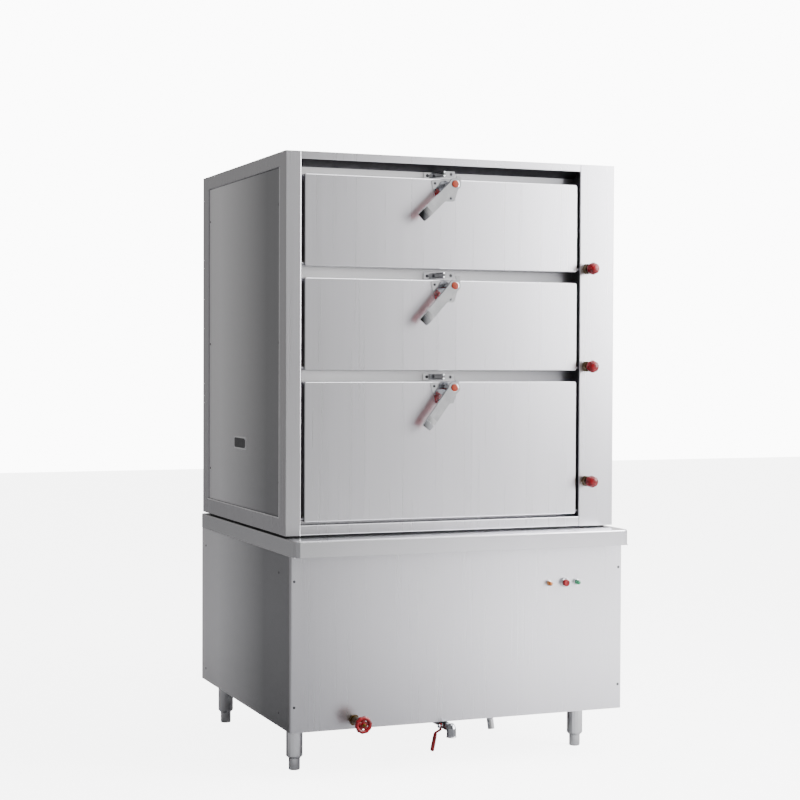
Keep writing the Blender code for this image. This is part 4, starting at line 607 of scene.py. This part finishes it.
class STEAMCABINET_OT_latches(bpy.types.Operator):
    """Add pin caps, end lips, grip liners, screws and the keepers' eyes and beads to the latches"""
    bl_idname = "steamcabinet.latches"
    bl_label = "Latch Fittings"

    def execute(self, context):
        for level in LEVELS:
            joint = JOINTS[f"{level}_latch_turn"]
            pivot = Vector(joint["pos_m"])
            centre = Vector((pivot.x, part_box(f"{level}_latch_lever")[0].y, pivot.z))
            angle = math.radians(180 - joint["range_deg"][0] - LEVER_RAISED_DEG)
            along = Vector((math.cos(angle), 0, math.sin(angle)))
            side = Vector((-along.z, 0, along.x))
            self.cap_pin(level, centre, context.scene.steamcabinet_sizes.cap_radius)
            self.add_lip(level, centre, along, side)
            self.line_grip(level, centre, along, side)
            self.screw_base(level)
            self.fit_keeper(level)
            self.bead_keeper(level)
        return {"FINISHED"}

    def cap_pin(self, level, centre, radius):
        """An orange cap over the pin, on a thin chromed washer."""
        wide = radius * 1.12
        washer = [(wide, 0.1 * MM), (wide, 0.9 * MM), (radius, 1.2 * MM)]
        cap = rounded_profile(radius, start=1.0 * MM, end=4.2 * MM, edge=2.4 * MM)
        shape = bmesh.new()
        add_turned(shape, washer, centre, FRONT, finish=1)
        add_turned(shape, cap, centre, FRONT)
        make_piece(f"{level}_latch_cap", shape, ["orange", "chrome"], f"{level}_latch")

    def add_lip(self, level, centre, along, side):
        """The flat end of the lever's face and the lip that bends back from it, with a painted reflection."""
        fold = centre + along * (LEVER_LENGTH - LIP_LENGTH)
        slope = 7 * MM / (22 * MM)
        near = (1.5 * MM, LIP_HALF_WIDTH)
        far = (LIP_LENGTH, LIP_HALF_WIDTH - 2 * MM)
        outline = [fold + along * reach + side * (hand * half) + BACK * (slope * reach)
                   for (reach, half), hand in ((near, -1), (near, 1), (far, 1), (far, -1))]
        shape = bmesh.new()
        add_plate(shape, outline, (FRONT + along * -slope).normalized(), SKIN_OFFSET, 0.5 * MM, 0.2 * MM)
        start, end = -15 * MM, 1 * MM
        half = LIP_HALF_WIDTH - 0.4 * MM
        flat = [fold + along * reach + side * (hand * half)
                for reach, hand in ((start, -1), (end, -1), (end, 1), (start, 1))]
        add_plate(shape, flat, FRONT, SKIN_OFFSET, 0.3 * MM, 0.2 * MM)
        make_piece(f"{level}_latch_lip", shape, ["lip chrome, painted reflection"], f"{level}_latch")

    def line_grip(self, level, centre, along, side):
        """The red liner inside the lever's channel, a little fuller in its middle."""
        rings = []
        for reach, near, half in GRIP_STATIONS:
            bulge = 1.0 if half > 12.5 else 0.4
            shoulder = GRIP_BACK - 0.3 + bulge / 4
            crown = GRIP_BACK + bulge / 2
            section = ((-half, near), (half, near), (half, GRIP_BACK - 1.2), (half * 0.9, shoulder),
                       (half * 0.4, crown), (-half * 0.4, crown), (-half * 0.9, shoulder),
                       (-half, GRIP_BACK - 1.2))
            rings.append([centre + along * (reach * MM) + side * (across * MM) + BACK * (depth * MM)
                          for across, depth in section])
        shape = bmesh.new()
        add_rings(shape, rings)
        make_piece(f"{level}_grip_liner", shape, ["red"], f"{level}_latch",
                   [f"{level}_latch_grip"])

    def screw_base(self, level):
        """Four screws through the base plate into the door."""
        low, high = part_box(f"{level}_latch_base")
        middle = (low.x + high.x) / 2
        face = CABINET_FRONT - 2.3 * MM
        inset = 12 * MM
        foot_inset = 10 * MM
        half_pitch = 18 * MM
        spots = ((low.x + inset, high.z - inset), (high.x - inset, high.z - inset),
                 (middle - half_pitch, low.z + foot_inset), (middle + half_pitch, low.z + foot_inset))
        shape = bmesh.new()
        for turn, (x, z) in enumerate(spots):
            add_pan_head(shape, Vector((x, face, z)), FRONT, 4.2 * MM, 2 * MM, turn * 0.7)
        make_piece(f"{level}_latch_screws", shape, ["screw", "black"], f"{level}_door")

    def fit_keeper(self, level):
        """The eye in the keeper's hook and the screw through its ear."""
        low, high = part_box(f"{level}_keeper")
        inset = 12 * MM
        middle = (low.z + high.z) / 2
        eye = Vector((high.x - inset, low.y, middle))
        ear = Vector((low.x + inset, high.y - 3 * MM, middle))
        shape = bmesh.new()
        add_turned(shape, [(5.2 * MM, SKIN_OFFSET), (5 * MM, 0.5 * MM), (3.6 * MM, 0.7 * MM)], eye, FRONT, 32)
        # A black disc in the eye: painted shade in its hole
        add_turned(shape, in_mm((3.4, 0.3), (3.2, 0.8)), eye, FRONT, 24, 1)
        add_pan_head(shape, ear, FRONT, 5 * MM, 2.6 * MM, 0.4)
        make_piece(f"{level}_keeper_fittings", shape, ["screw", "black"], "cabinet")

    def bead_keeper(self, level):
        """Two rolled beads along the keeper's web, rising towards its hook."""
        low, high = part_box(f"{level}_keeper")
        start = Vector((low.x + 25 * MM, high.y - 3.6 * MM, 0))
        end = Vector((high.x - 34 * MM, low.y - 0.2 * MM, 0))
        bead = 1.5 * MM
        steps = 8
        shape = bmesh.new()
        for height, rise in ((high.z - 1.6 * MM, 2.4 * MM), (low.z + 4.5 * MM, 1.2 * MM)):
            rings = []
            for step in range(steps + 1):
                share = step / steps
                middle = start.lerp(end, share)
                middle.z = height - rise * (1 - math.sin(math.pi * share / 2))
                rings.append(ring_about(middle, (end - start).normalized(), bead, 0, 12))
            add_rings(shape, rings)
        make_piece(f"{level}_keeper_beads", shape, ["chrome"], "cabinet")


class STEAMCABINET_OT_handwheel(bpy.types.Operator):
    """Replace the plain handwheel with one of round section, with lobes, spokes and a hub nut"""
    bl_idname = "steamcabinet.handwheel"
    bl_label = "Water Handwheel"

    def execute(self, context):
        low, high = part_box("water_handwheel")
        centre = joint_place("handwheel_turn")
        centre.y = high.y
        reach = high.y - low.y
        radius = (high.x - low.x) / 2
        shape = bmesh.new()
        self.add_rim(shape, centre, radius, reach / 2)
        hub = in_mm((5.2, 0), (7.5, 0.8), (8.2, 3)) + [(8.2 * MM, reach * 0.7), (7 * MM, reach * 0.82)]
        add_turned(shape, hub, centre, FRONT, 40)
        nut = [(5.6 * MM, reach * 0.8), (5.6 * MM, reach * 0.97), (4.6 * MM, reach)]
        add_turned(shape, nut, centre, FRONT, 6, 1)
        self.add_spokes(shape, centre, radius, reach / 2)
        make_piece("handwheel_shell", shape, ["red", "brass"], "handwheel",
                   ["water_handwheel"])
        return {"FINISHED"}

    def add_rim(self, shape, centre, radius, middle):
        """The rim, round in section, with lobes for the fingers on its outside."""
        rings = []
        for step in range(WHEEL_RIM_SIDES):
            angle = math.tau * step / WHEEL_RIM_SIDES
            ring_radius = radius - WHEEL_RIM + WHEEL_RIM * math.cos(angle)
            lobe = WHEEL_LOBE_DEPTH * (1 + math.cos(angle)) / 2
            along = middle + WHEEL_RIM * math.sin(angle)
            rings.append(ring_about(centre, FRONT, ring_radius, along, 120, WHEEL_LOBES, lobe))
        add_rings(shape, rings, 0, True)

    def add_spokes(self, shape, centre, radius, middle):
        """Flat spokes from hub to rim, narrower in their middle."""
        first_turn = 0.3
        half_depth = 2.1 * MM
        for spoke in range(WHEEL_SPOKES):
            angle = math.tau * spoke / WHEEL_SPOKES + first_turn
            out = Vector((math.cos(angle), 0, math.sin(angle)))
            side = out.cross(FRONT)
            rings = []
            for share in (0.24, 0.4, 0.6, 0.8):
                half_width = (7.2 - 2.2 * math.sin(math.pi * (share - 0.2))) * MM
                rings.append([centre + out * (radius * share) + side * (half_width * math.cos(turn))
                              + FRONT * (middle + half_depth * math.sin(turn)) for turn in turns(12)])
            add_rings(shape, rings)


class STEAMCABINET_OT_drain(bpy.types.Operator):
    """Add the drain handle's dipped sleeve, its nut and the ring of the spout"""
    bl_idname = "steamcabinet.drain"
    bl_label = "Drain Fittings"

    def execute(self, context):
        low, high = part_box("drain_lever")
        pivot = joint_place("drain_turn")
        eye = Vector((high.x - 1.5 * MM, pivot.y, pivot.z))
        crank = Vector((eye.x - 16 * MM, pivot.y, pivot.z - 18 * MM))
        self.add_sleeve(crank, Vector((low.x + 1.6 * MM, pivot.y, low.z)))
        shape = bmesh.new()
        nut = Vector((eye.x - 1.7 * MM, pivot.y, pivot.z))
        add_turned(shape, in_mm((6.4, 0), (6.8, 0.6), (6.8, 4), (6.2, 4.8)), nut, LEFT, 6)
        make_piece("drain_nut", shape, ["chrome"], "drain_handle")
        valve_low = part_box("drain_valve")[0]
        spout = Vector((pivot.x, valve_low.y + 14.5 * MM, valve_low.z))
        ring = in_mm((11.6, 0.1), (14.6, 0.2), (15.6, 0.8), (15.8, 2.6), (15.2, 3.6), (14.4, 4.2),
                     (11.6, 4.2))
        shape = bmesh.new()
        add_turned(shape, ring, spout, UP, 48, 0, True)
        make_piece("drain_spout_ring", shape, ["foot steel"], "cabinet")
        return {"FINISHED"}

    def add_sleeve(self, crank, end):
        """The red sleeve along the straight part of the handle, flattened and round at its edges."""
        out = (end - crank).normalized()
        side = out.cross(BACK)
        length = (end - crank).length
        rings = []
        for share, thick, wide in SLEEVE_STATIONS:
            rings.append([crank + out * (length * share) + side * (thick * MM * math.cos(turn))
                          + BACK * (wide * MM * drawn_out(math.sin(turn)))
                          for turn in turns(24)])
        shape = bmesh.new()
        add_rings(shape, rings)
        make_piece("drain_sleeve", shape, ["red"], "drain_handle")


class STEAMCABINET_OT_controls(bpy.types.Operator):
    """Replace the lamps and the button with finer ones, and seat each lamp in its ring"""
    bl_idname = "steamcabinet.controls"
    bl_label = "Lamps and Button"

    def execute(self, context):
        for colour in ("amber", "green"):
            name = f"{colour}_lamp"
            low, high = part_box(name)
            centre = (low + high) / 2
            centre.y = BASE_FRONT
            reach = BASE_FRONT - low.y
            dome = scaled(LENS_DOME, LENS_RADIUS, reach)
            lens = [(LENS_RADIUS, -LENS_ROOT), (LENS_RADIUS, 1.5 * MM), *dome]
            shape = bmesh.new()
            add_turned(shape, lens, centre, FRONT, 48, 0, False, LENS_RIBS, LENS_RIB_DEPTH)
            ring = in_mm((8, 0.3), (9.4, 0.3), (9.4, 2.4), (8.9, 3.8), (8, 4))
            add_turned(shape, ring, centre, FRONT, 48, 1, True)
            make_piece(f"{name}_lens", shape, [colour, "chrome"], "cabinet", [name])
        self.cap_button()
        return {"FINISHED"}

    def cap_button(self):
        """The push-button's red cap, with a rounded edge and a dished face."""
        low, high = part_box("push_button")
        centre = joint_place("button_travel")
        centre.y = high.y
        reach = high.y - low.y
        radius = (high.x - low.x) / 2
        profile = [(radius, 0)] + [(radius * share, reach - below * MM) for share, below in BUTTON_FACE]
        shape = bmesh.new()
        add_turned(shape, profile, centre, FRONT, 64)
        make_piece("push_button_cap", shape, ["red"], "button", ["push_button"])


class STEAMCABINET_OT_fixings(bpy.types.Operator):
    """Paint shade in the recess and highlights on folded edges, and add screws, rivets and the bare plate"""
    bl_idname = "steamcabinet.fixings"
    bl_label = "Painted Shade and Highlights, Screws and Plate"

    def execute(self, context):
        sizes = context.scene.steamcabinet_sizes
        self.paint_recess_shade()
        self.paint_edge_highlights()
        self.screw_panels(sizes)
        self.fit_plate(sizes)
        return {"FINISHED"}

    def paint_recess_shade(self):
        """Dark sheets of painted shade on the ceiling and the two returns of the recess."""
        low_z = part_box("lower_door_skin")[0].z - 8 * MM
        front, back = CABINET_FRONT + 1.2 * MM, RECESS_BACK - 0.3 * MM
        back_top = RECESS_TOP - CEILING_DROP
        slope = CEILING_DROP / (back - front)
        sheets = [((FRONT * slope + DOWN).normalized(), 0,
                   ((RECESS_LEFT, front, RECESS_TOP), (RECESS_RIGHT, front, RECESS_TOP),
                    (RECESS_RIGHT, back, back_top), (RECESS_LEFT, back, back_top)))]
        for x, normal in ((RECESS_LEFT, RIGHT), (RECESS_RIGHT, LEFT)):
            sheets.append((normal, 1, ((x, front, low_z), (x, back, low_z), (x, back, back_top),
                                       (x, front, RECESS_TOP))))
        shape = bmesh.new()
        for normal, finish, corners in sheets:
            add_plate(shape, [Vector(corner) for corner in corners], normal, SKIN_OFFSET, 0.4 * MM, 0.1 * MM,
                      finish)
        make_piece("recess_painted_shade", shape, ["recess painted shade", "returns painted shade"], "cabinet")

    def paint_edge_highlights(self):
        """Strips of painted highlight where the side frames fold, and beads of it under the worktop's rim."""
        panel_low, panel_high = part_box("left_side_panel")
        top_low, top_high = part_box("worktop")
        front, back = CABINET_FRONT + FOLD_FRONT, CABINET_BACK - FOLD_BACK
        low, high = panel_low.z - 0.6 * MM, panel_high.z
        strips = ((front - UPRIGHT_STRIP, front, low, high), (front, back, low - LEVEL_STRIP, low))
        rim_ys = (top_low.y + 6 * MM, top_high.y - 2 * MM)
        shape = bmesh.new()
        for hand, normal in ((-1, LEFT), (1, RIGHT)):
            for y_start, y_end, z_start, z_end in strips:
                corners = [Vector((hand * CABINET_SIDE, y, z)) for y, z in (
                    (y_start, z_start), (y_end, z_start), (y_end, z_end), (y_start, z_end))]
                add_plate(shape, corners, normal, SKIN_OFFSET, 0.3 * MM, 0.1 * MM)
            rim = [Vector((hand * (top_high.x - RIM_BEAD), y, top_low.z)) for y in rim_ys]
            add_rings(shape, [ring_about(place, BACK, RIM_BEAD, 0, 8) for place in rim])
        make_piece("painted_edge_highlights", shape, ["painted highlight"], "cabinet")

    def screw_spots(self):
        """Where the panel screws sit, and which way each one faces."""
        spots = [(Vector((x, BASE_FRONT, z)), FRONT) for x, z in product(
            (-BASE_SIDE + 12 * MM, BASE_SIDE - 12 * MM), (BASE_TOP - 72 * MM, BASE_BOTTOM + 76 * MM))]
        hands = ((-1, LEFT), (1, RIGHT))
        base_ys = (CABINET_FRONT + 52 * MM, CABINET_BACK - 50 * MM)
        base_zs = (BASE_TOP - 57 * MM, BASE_BOTTOM + 41 * MM)
        spots += [(Vector((hand * BASE_SIDE, y, z)), normal)
                  for (hand, normal), y, z in product(hands, base_ys, base_zs)]
        low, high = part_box("left_side_panel")
        side_ys = (low.y + 14 * MM, high.y - 14 * MM)
        side_zs = (low.z + 103 * MM, (low.z + high.z) / 2, high.z - 109 * MM)
        spots += [(Vector((abs(low.x) * hand, y, z)), normal)
                  for (hand, normal), y, z in product(hands, side_ys, side_zs)]
        for name, xs, bottom, top in (("base_back_panel", (-0.45, -0.15, 0.15, 0.45), 30 * MM, 30 * MM),
                                      ("cabinet_back_panel", (-0.48, -0.16, 0.16, 0.48), 70 * MM, 66 * MM)):
            low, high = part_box(name)
            spots += [(Vector((x, high.y, z)), BACK) for x, z in product(xs, (low.z + bottom, high.z - top))]
        return spots

    def screw_panels(self, sizes):
        """Panel screws, sunk so that little of each head stands out, and least at the back plane."""
        shape = bmesh.new()
        for turn, (place, normal) in enumerate(self.screw_spots()):
            proud = 0.05 * MM if place.y > CABINET_BACK - MM else sizes.screw_height * 0.35
            lifted = place + normal * (proud - sizes.screw_height)
            add_pan_head(shape, lifted, normal, sizes.screw_radius, sizes.screw_height, turn * 0.9)
        make_piece("panel_screws", shape, ["screw", "black"], "cabinet")

    def fit_plate(self, sizes):
        """The bare plate on the left side panel: a bright rim round a dark field, held by four rivets."""
        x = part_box("left_side_panel")[0].x
        y = CABINET_FRONT + 484 * MM
        z = 983.5 * MM
        half = Vector((0, sizes.badge_width / 2, sizes.badge_height / 2))
        corner = 3 * MM
        rivet_inset = 6 * MM
        shape = bmesh.new()
        layers = ((0, SKIN_OFFSET, 0.8 * MM, 1), (5 * MM, 0.6 * MM, 0.5 * MM, 0))
        for inset, lift, thickness, finish in layers:
            outline = []
            for (up, along), step in product(((-1, -1), (-1, 1), (1, 1), (1, -1)), range(-2, 3)):
                angle = math.atan2(up, along) + math.radians(90) * step / 4
                outline.append(Vector((x, y + along * (half.y - inset - corner) + corner * math.cos(angle),
                                       z + up * (half.z - inset - corner) + corner * math.sin(angle))))
            add_plate(shape, outline, LEFT, lift, thickness, 0.3 * MM, finish)
        for along, up in product((-1, 1), (-1, 1)):
            place = Vector((x - 0.7 * MM, y + along * (half.y - rivet_inset),
                            z + up * (half.z - rivet_inset)))
            add_rivet(shape, place, LEFT, sizes.rivet_radius, 1)
        make_piece("bare_plate", shape, ["plate", "chrome"], "cabinet")


class STEAMCABINET_OT_stage(bpy.types.Operator):
    """Lay the floor, hang the lights and place the camera"""
    bl_idname = "steamcabinet.stage"
    bl_label = "Floor, Light and Camera"

    def execute(self, context):
        settings = context.scene.steamcabinet_stage
        self.lay_floor()
        self.light_room(context.scene.steamcabinet_colours)
        self.hang_lights(settings)
        self.place_camera(context, settings)
        return {"FINISHED"}

    def lay_floor(self):
        """A wide pale floor of sealed screed, which only the camera sees at its full brightness."""
        shape = bmesh.new()
        half = 14
        outline = [Vector((x, y, 0)) for x, y in ((-half, -half), (half, -half), (half, half), (-half, half))]
        shape.faces.new([shape.verts.new(point) for point in outline])
        mesh = bpy.data.meshes.new("studio_floor")
        shape.to_mesh(mesh)
        shape.free()
        material, tree, shader, place = new_finish("Sealed screed, pale", 0, 0.6)
        mottle = grain(tree, place, (90, 90, 90), 3)
        pale = tint(tree, mottle, "f6f6f6", "fbfbfb")
        link_finish(tree, shader, pale)
        tree.links.new(pale, shader.inputs["Emission Color"])
        shader.inputs["Emission Strength"].default_value = FLOOR_GLOW
        # To every other ray the floor is grey, paler towards +X: painted shade for the steel to reflect
        dim = painted_light_ramp(tree, place, tint(tree, mottle, "a8a8aa", "b0b0b2"), "X", 0.0, 1.5, "f8f8f8")
        grey = node(tree, "ShaderNodeBsdfDiffuse", inputs={"Color": dim})
        surface = for_camera(tree, shader.outputs[0], grey.outputs[0])
        tree.links.new(surface, tree.nodes["Material Output"].inputs["Surface"])
        mesh.materials.append(material)
        floor = bpy.data.objects.new("studio_floor", mesh)
        bpy.context.scene.collection.objects.link(floor)

    def light_room(self, colours):
        """A room dark on the left and bright on the right, and a backdrop that only the camera sees."""
        world = bpy.data.worlds.new("studio_room")
        world.use_nodes = True
        bpy.context.scene.world = world
        tree = world.node_tree
        tree.nodes.clear()
        place = node(tree, "ShaderNodeTexCoord")
        axes = node(tree, "ShaderNodeSeparateXYZ", inputs={0: place.outputs["Generated"]})
        from_left = spread(tree, axes.outputs["X"], 0, 1, -1, 1)
        across = node(tree, "ShaderNodeValToRGB", inputs={"Fac": from_left})
        ramp = across.color_ramp.elements
        while len(ramp) < len(ROOM_STOPS):
            ramp.new(0.5)
        for stop, (share, light) in zip(ramp, ROOM_STOPS):
            stop.position = share
            stop.color = (*[light / ROOM_BRIGHTEST] * 3, 1)
        upward = spread(tree, axes.outputs["Z"], 0.9 * ROOM_BRIGHTEST, 1.15 * ROOM_BRIGHTEST, -0.2, 0.9)
        strength = node(tree, "ShaderNodeMath", {"operation": "MULTIPLY"}, {
            0: across.outputs["Color"], 1: upward})
        room = node(tree, "ShaderNodeBackground", inputs={
            "Color": (*colours.sky, 1), "Strength": strength.outputs[0]})
        backdrop = node(tree, "ShaderNodeBackground", inputs={
            "Color": (1, 1, 1, 1), "Strength": BACKDROP_GLOW})
        surface = for_camera(tree, backdrop.outputs[0], room.outputs[0])
        node(tree, "ShaderNodeOutputWorld", inputs={"Surface": surface})

    def hang_lights(self, settings):
        """A large soft light on the right and one overhead, neither seen by the camera."""
        lights = (("key_light", (3.6, -3.2, 2.3), (0, -0.2, 1.0), 2.6, settings.key_power),
                  ("top_light", (1.0, -2.4, 4.4), (0.6, -1.4, 0), 3.2, settings.fill_power))
        for name, spot, aim, size, power in lights:
            lamp = bpy.data.lights.new(name, "AREA")
            lamp.shape = "SQUARE"
            lamp.size = size
            lamp.energy = power
            item = bpy.data.objects.new(name, lamp)
            bpy.context.scene.collection.objects.link(item)
            item.location = spot
            item.rotation_euler = (Vector(aim) - Vector(spot)).to_track_quat("-Z", "Y").to_euler()
            item.visible_camera = False

    def place_camera(self, context, settings):
        """A long lens at standing height, left of the cabinet's middle."""
        azimuth, pitch, roll = settings.azimuth, settings.pitch, settings.roll
        sight = Vector((math.sin(azimuth) * math.cos(pitch), math.cos(azimuth) * math.cos(pitch),
                        math.sin(pitch)))
        level = Vector((math.cos(azimuth), -math.sin(azimuth), 0))
        above = level.cross(sight)
        across = math.cos(roll) * level + math.sin(roll) * above
        upright = across.cross(sight)
        lens = bpy.data.cameras.new("studio_camera")
        lens.lens = settings.lens
        lens.sensor_width = 36
        lens.clip_end = 100
        camera = bpy.data.objects.new("studio_camera", lens)
        context.scene.collection.objects.link(camera)
        axes = Matrix((across, upright, -sight)).transposed().to_4x4()
        camera.matrix_world = Matrix.Translation(settings.place) @ axes
        context.scene.camera = camera


class STEAMCABINET_PT_panel(bpy.types.Panel):
    """Buttons and sizes for dressing the cabinet"""
    bl_idname = "STEAMCABINET_PT_panel"
    bl_label = "Steam Cabinet"
    bl_space_type = "VIEW_3D"
    bl_region_type = "UI"
    bl_category = "Steam Cabinet"

    def draw(self, context):
        for settings in (context.scene.steamcabinet_colours, context.scene.steamcabinet_sizes,
                         context.scene.steamcabinet_stage):
            column = self.layout.column(align=True)
            for name in settings.__annotations__:
                column.prop(settings, name)
        for operator in OPERATORS:
            self.layout.operator(operator.bl_idname)


OPERATORS = (STEAMCABINET_OT_finishes, STEAMCABINET_OT_knobs, STEAMCABINET_OT_latches,
             STEAMCABINET_OT_handwheel, STEAMCABINET_OT_drain, STEAMCABINET_OT_controls,
             STEAMCABINET_OT_fixings, STEAMCABINET_OT_stage)
GROUPS = {"steamcabinet_colours": STEAMCABINET_PG_colours, "steamcabinet_sizes": STEAMCABINET_PG_sizes,
          "steamcabinet_stage": STEAMCABINET_PG_stage}


def register():
    for group in GROUPS.values():
        bpy.utils.register_class(group)
    for name, group in GROUPS.items():
        setattr(bpy.types.Scene, name, PointerProperty(type=group))
    for operator in OPERATORS:
        bpy.utils.register_class(operator)
    bpy.utils.register_class(STEAMCABINET_PT_panel)


def unregister():
    bpy.utils.unregister_class(STEAMCABINET_PT_panel)
    for operator in reversed(OPERATORS):
        bpy.utils.unregister_class(operator)
    for name, group in GROUPS.items():
        delattr(bpy.types.Scene, name)
        bpy.utils.unregister_class(group)


def main():
    register()
    bpy.ops.steamcabinet.finishes()
    bpy.ops.steamcabinet.knobs()
    bpy.ops.steamcabinet.latches()
    bpy.ops.steamcabinet.handwheel()
    bpy.ops.steamcabinet.drain()
    bpy.ops.steamcabinet.controls()
    bpy.ops.steamcabinet.fixings()
    bpy.ops.steamcabinet.stage()
    bpy.context.view_layer.update()


if __name__ == "__main__":
    main()
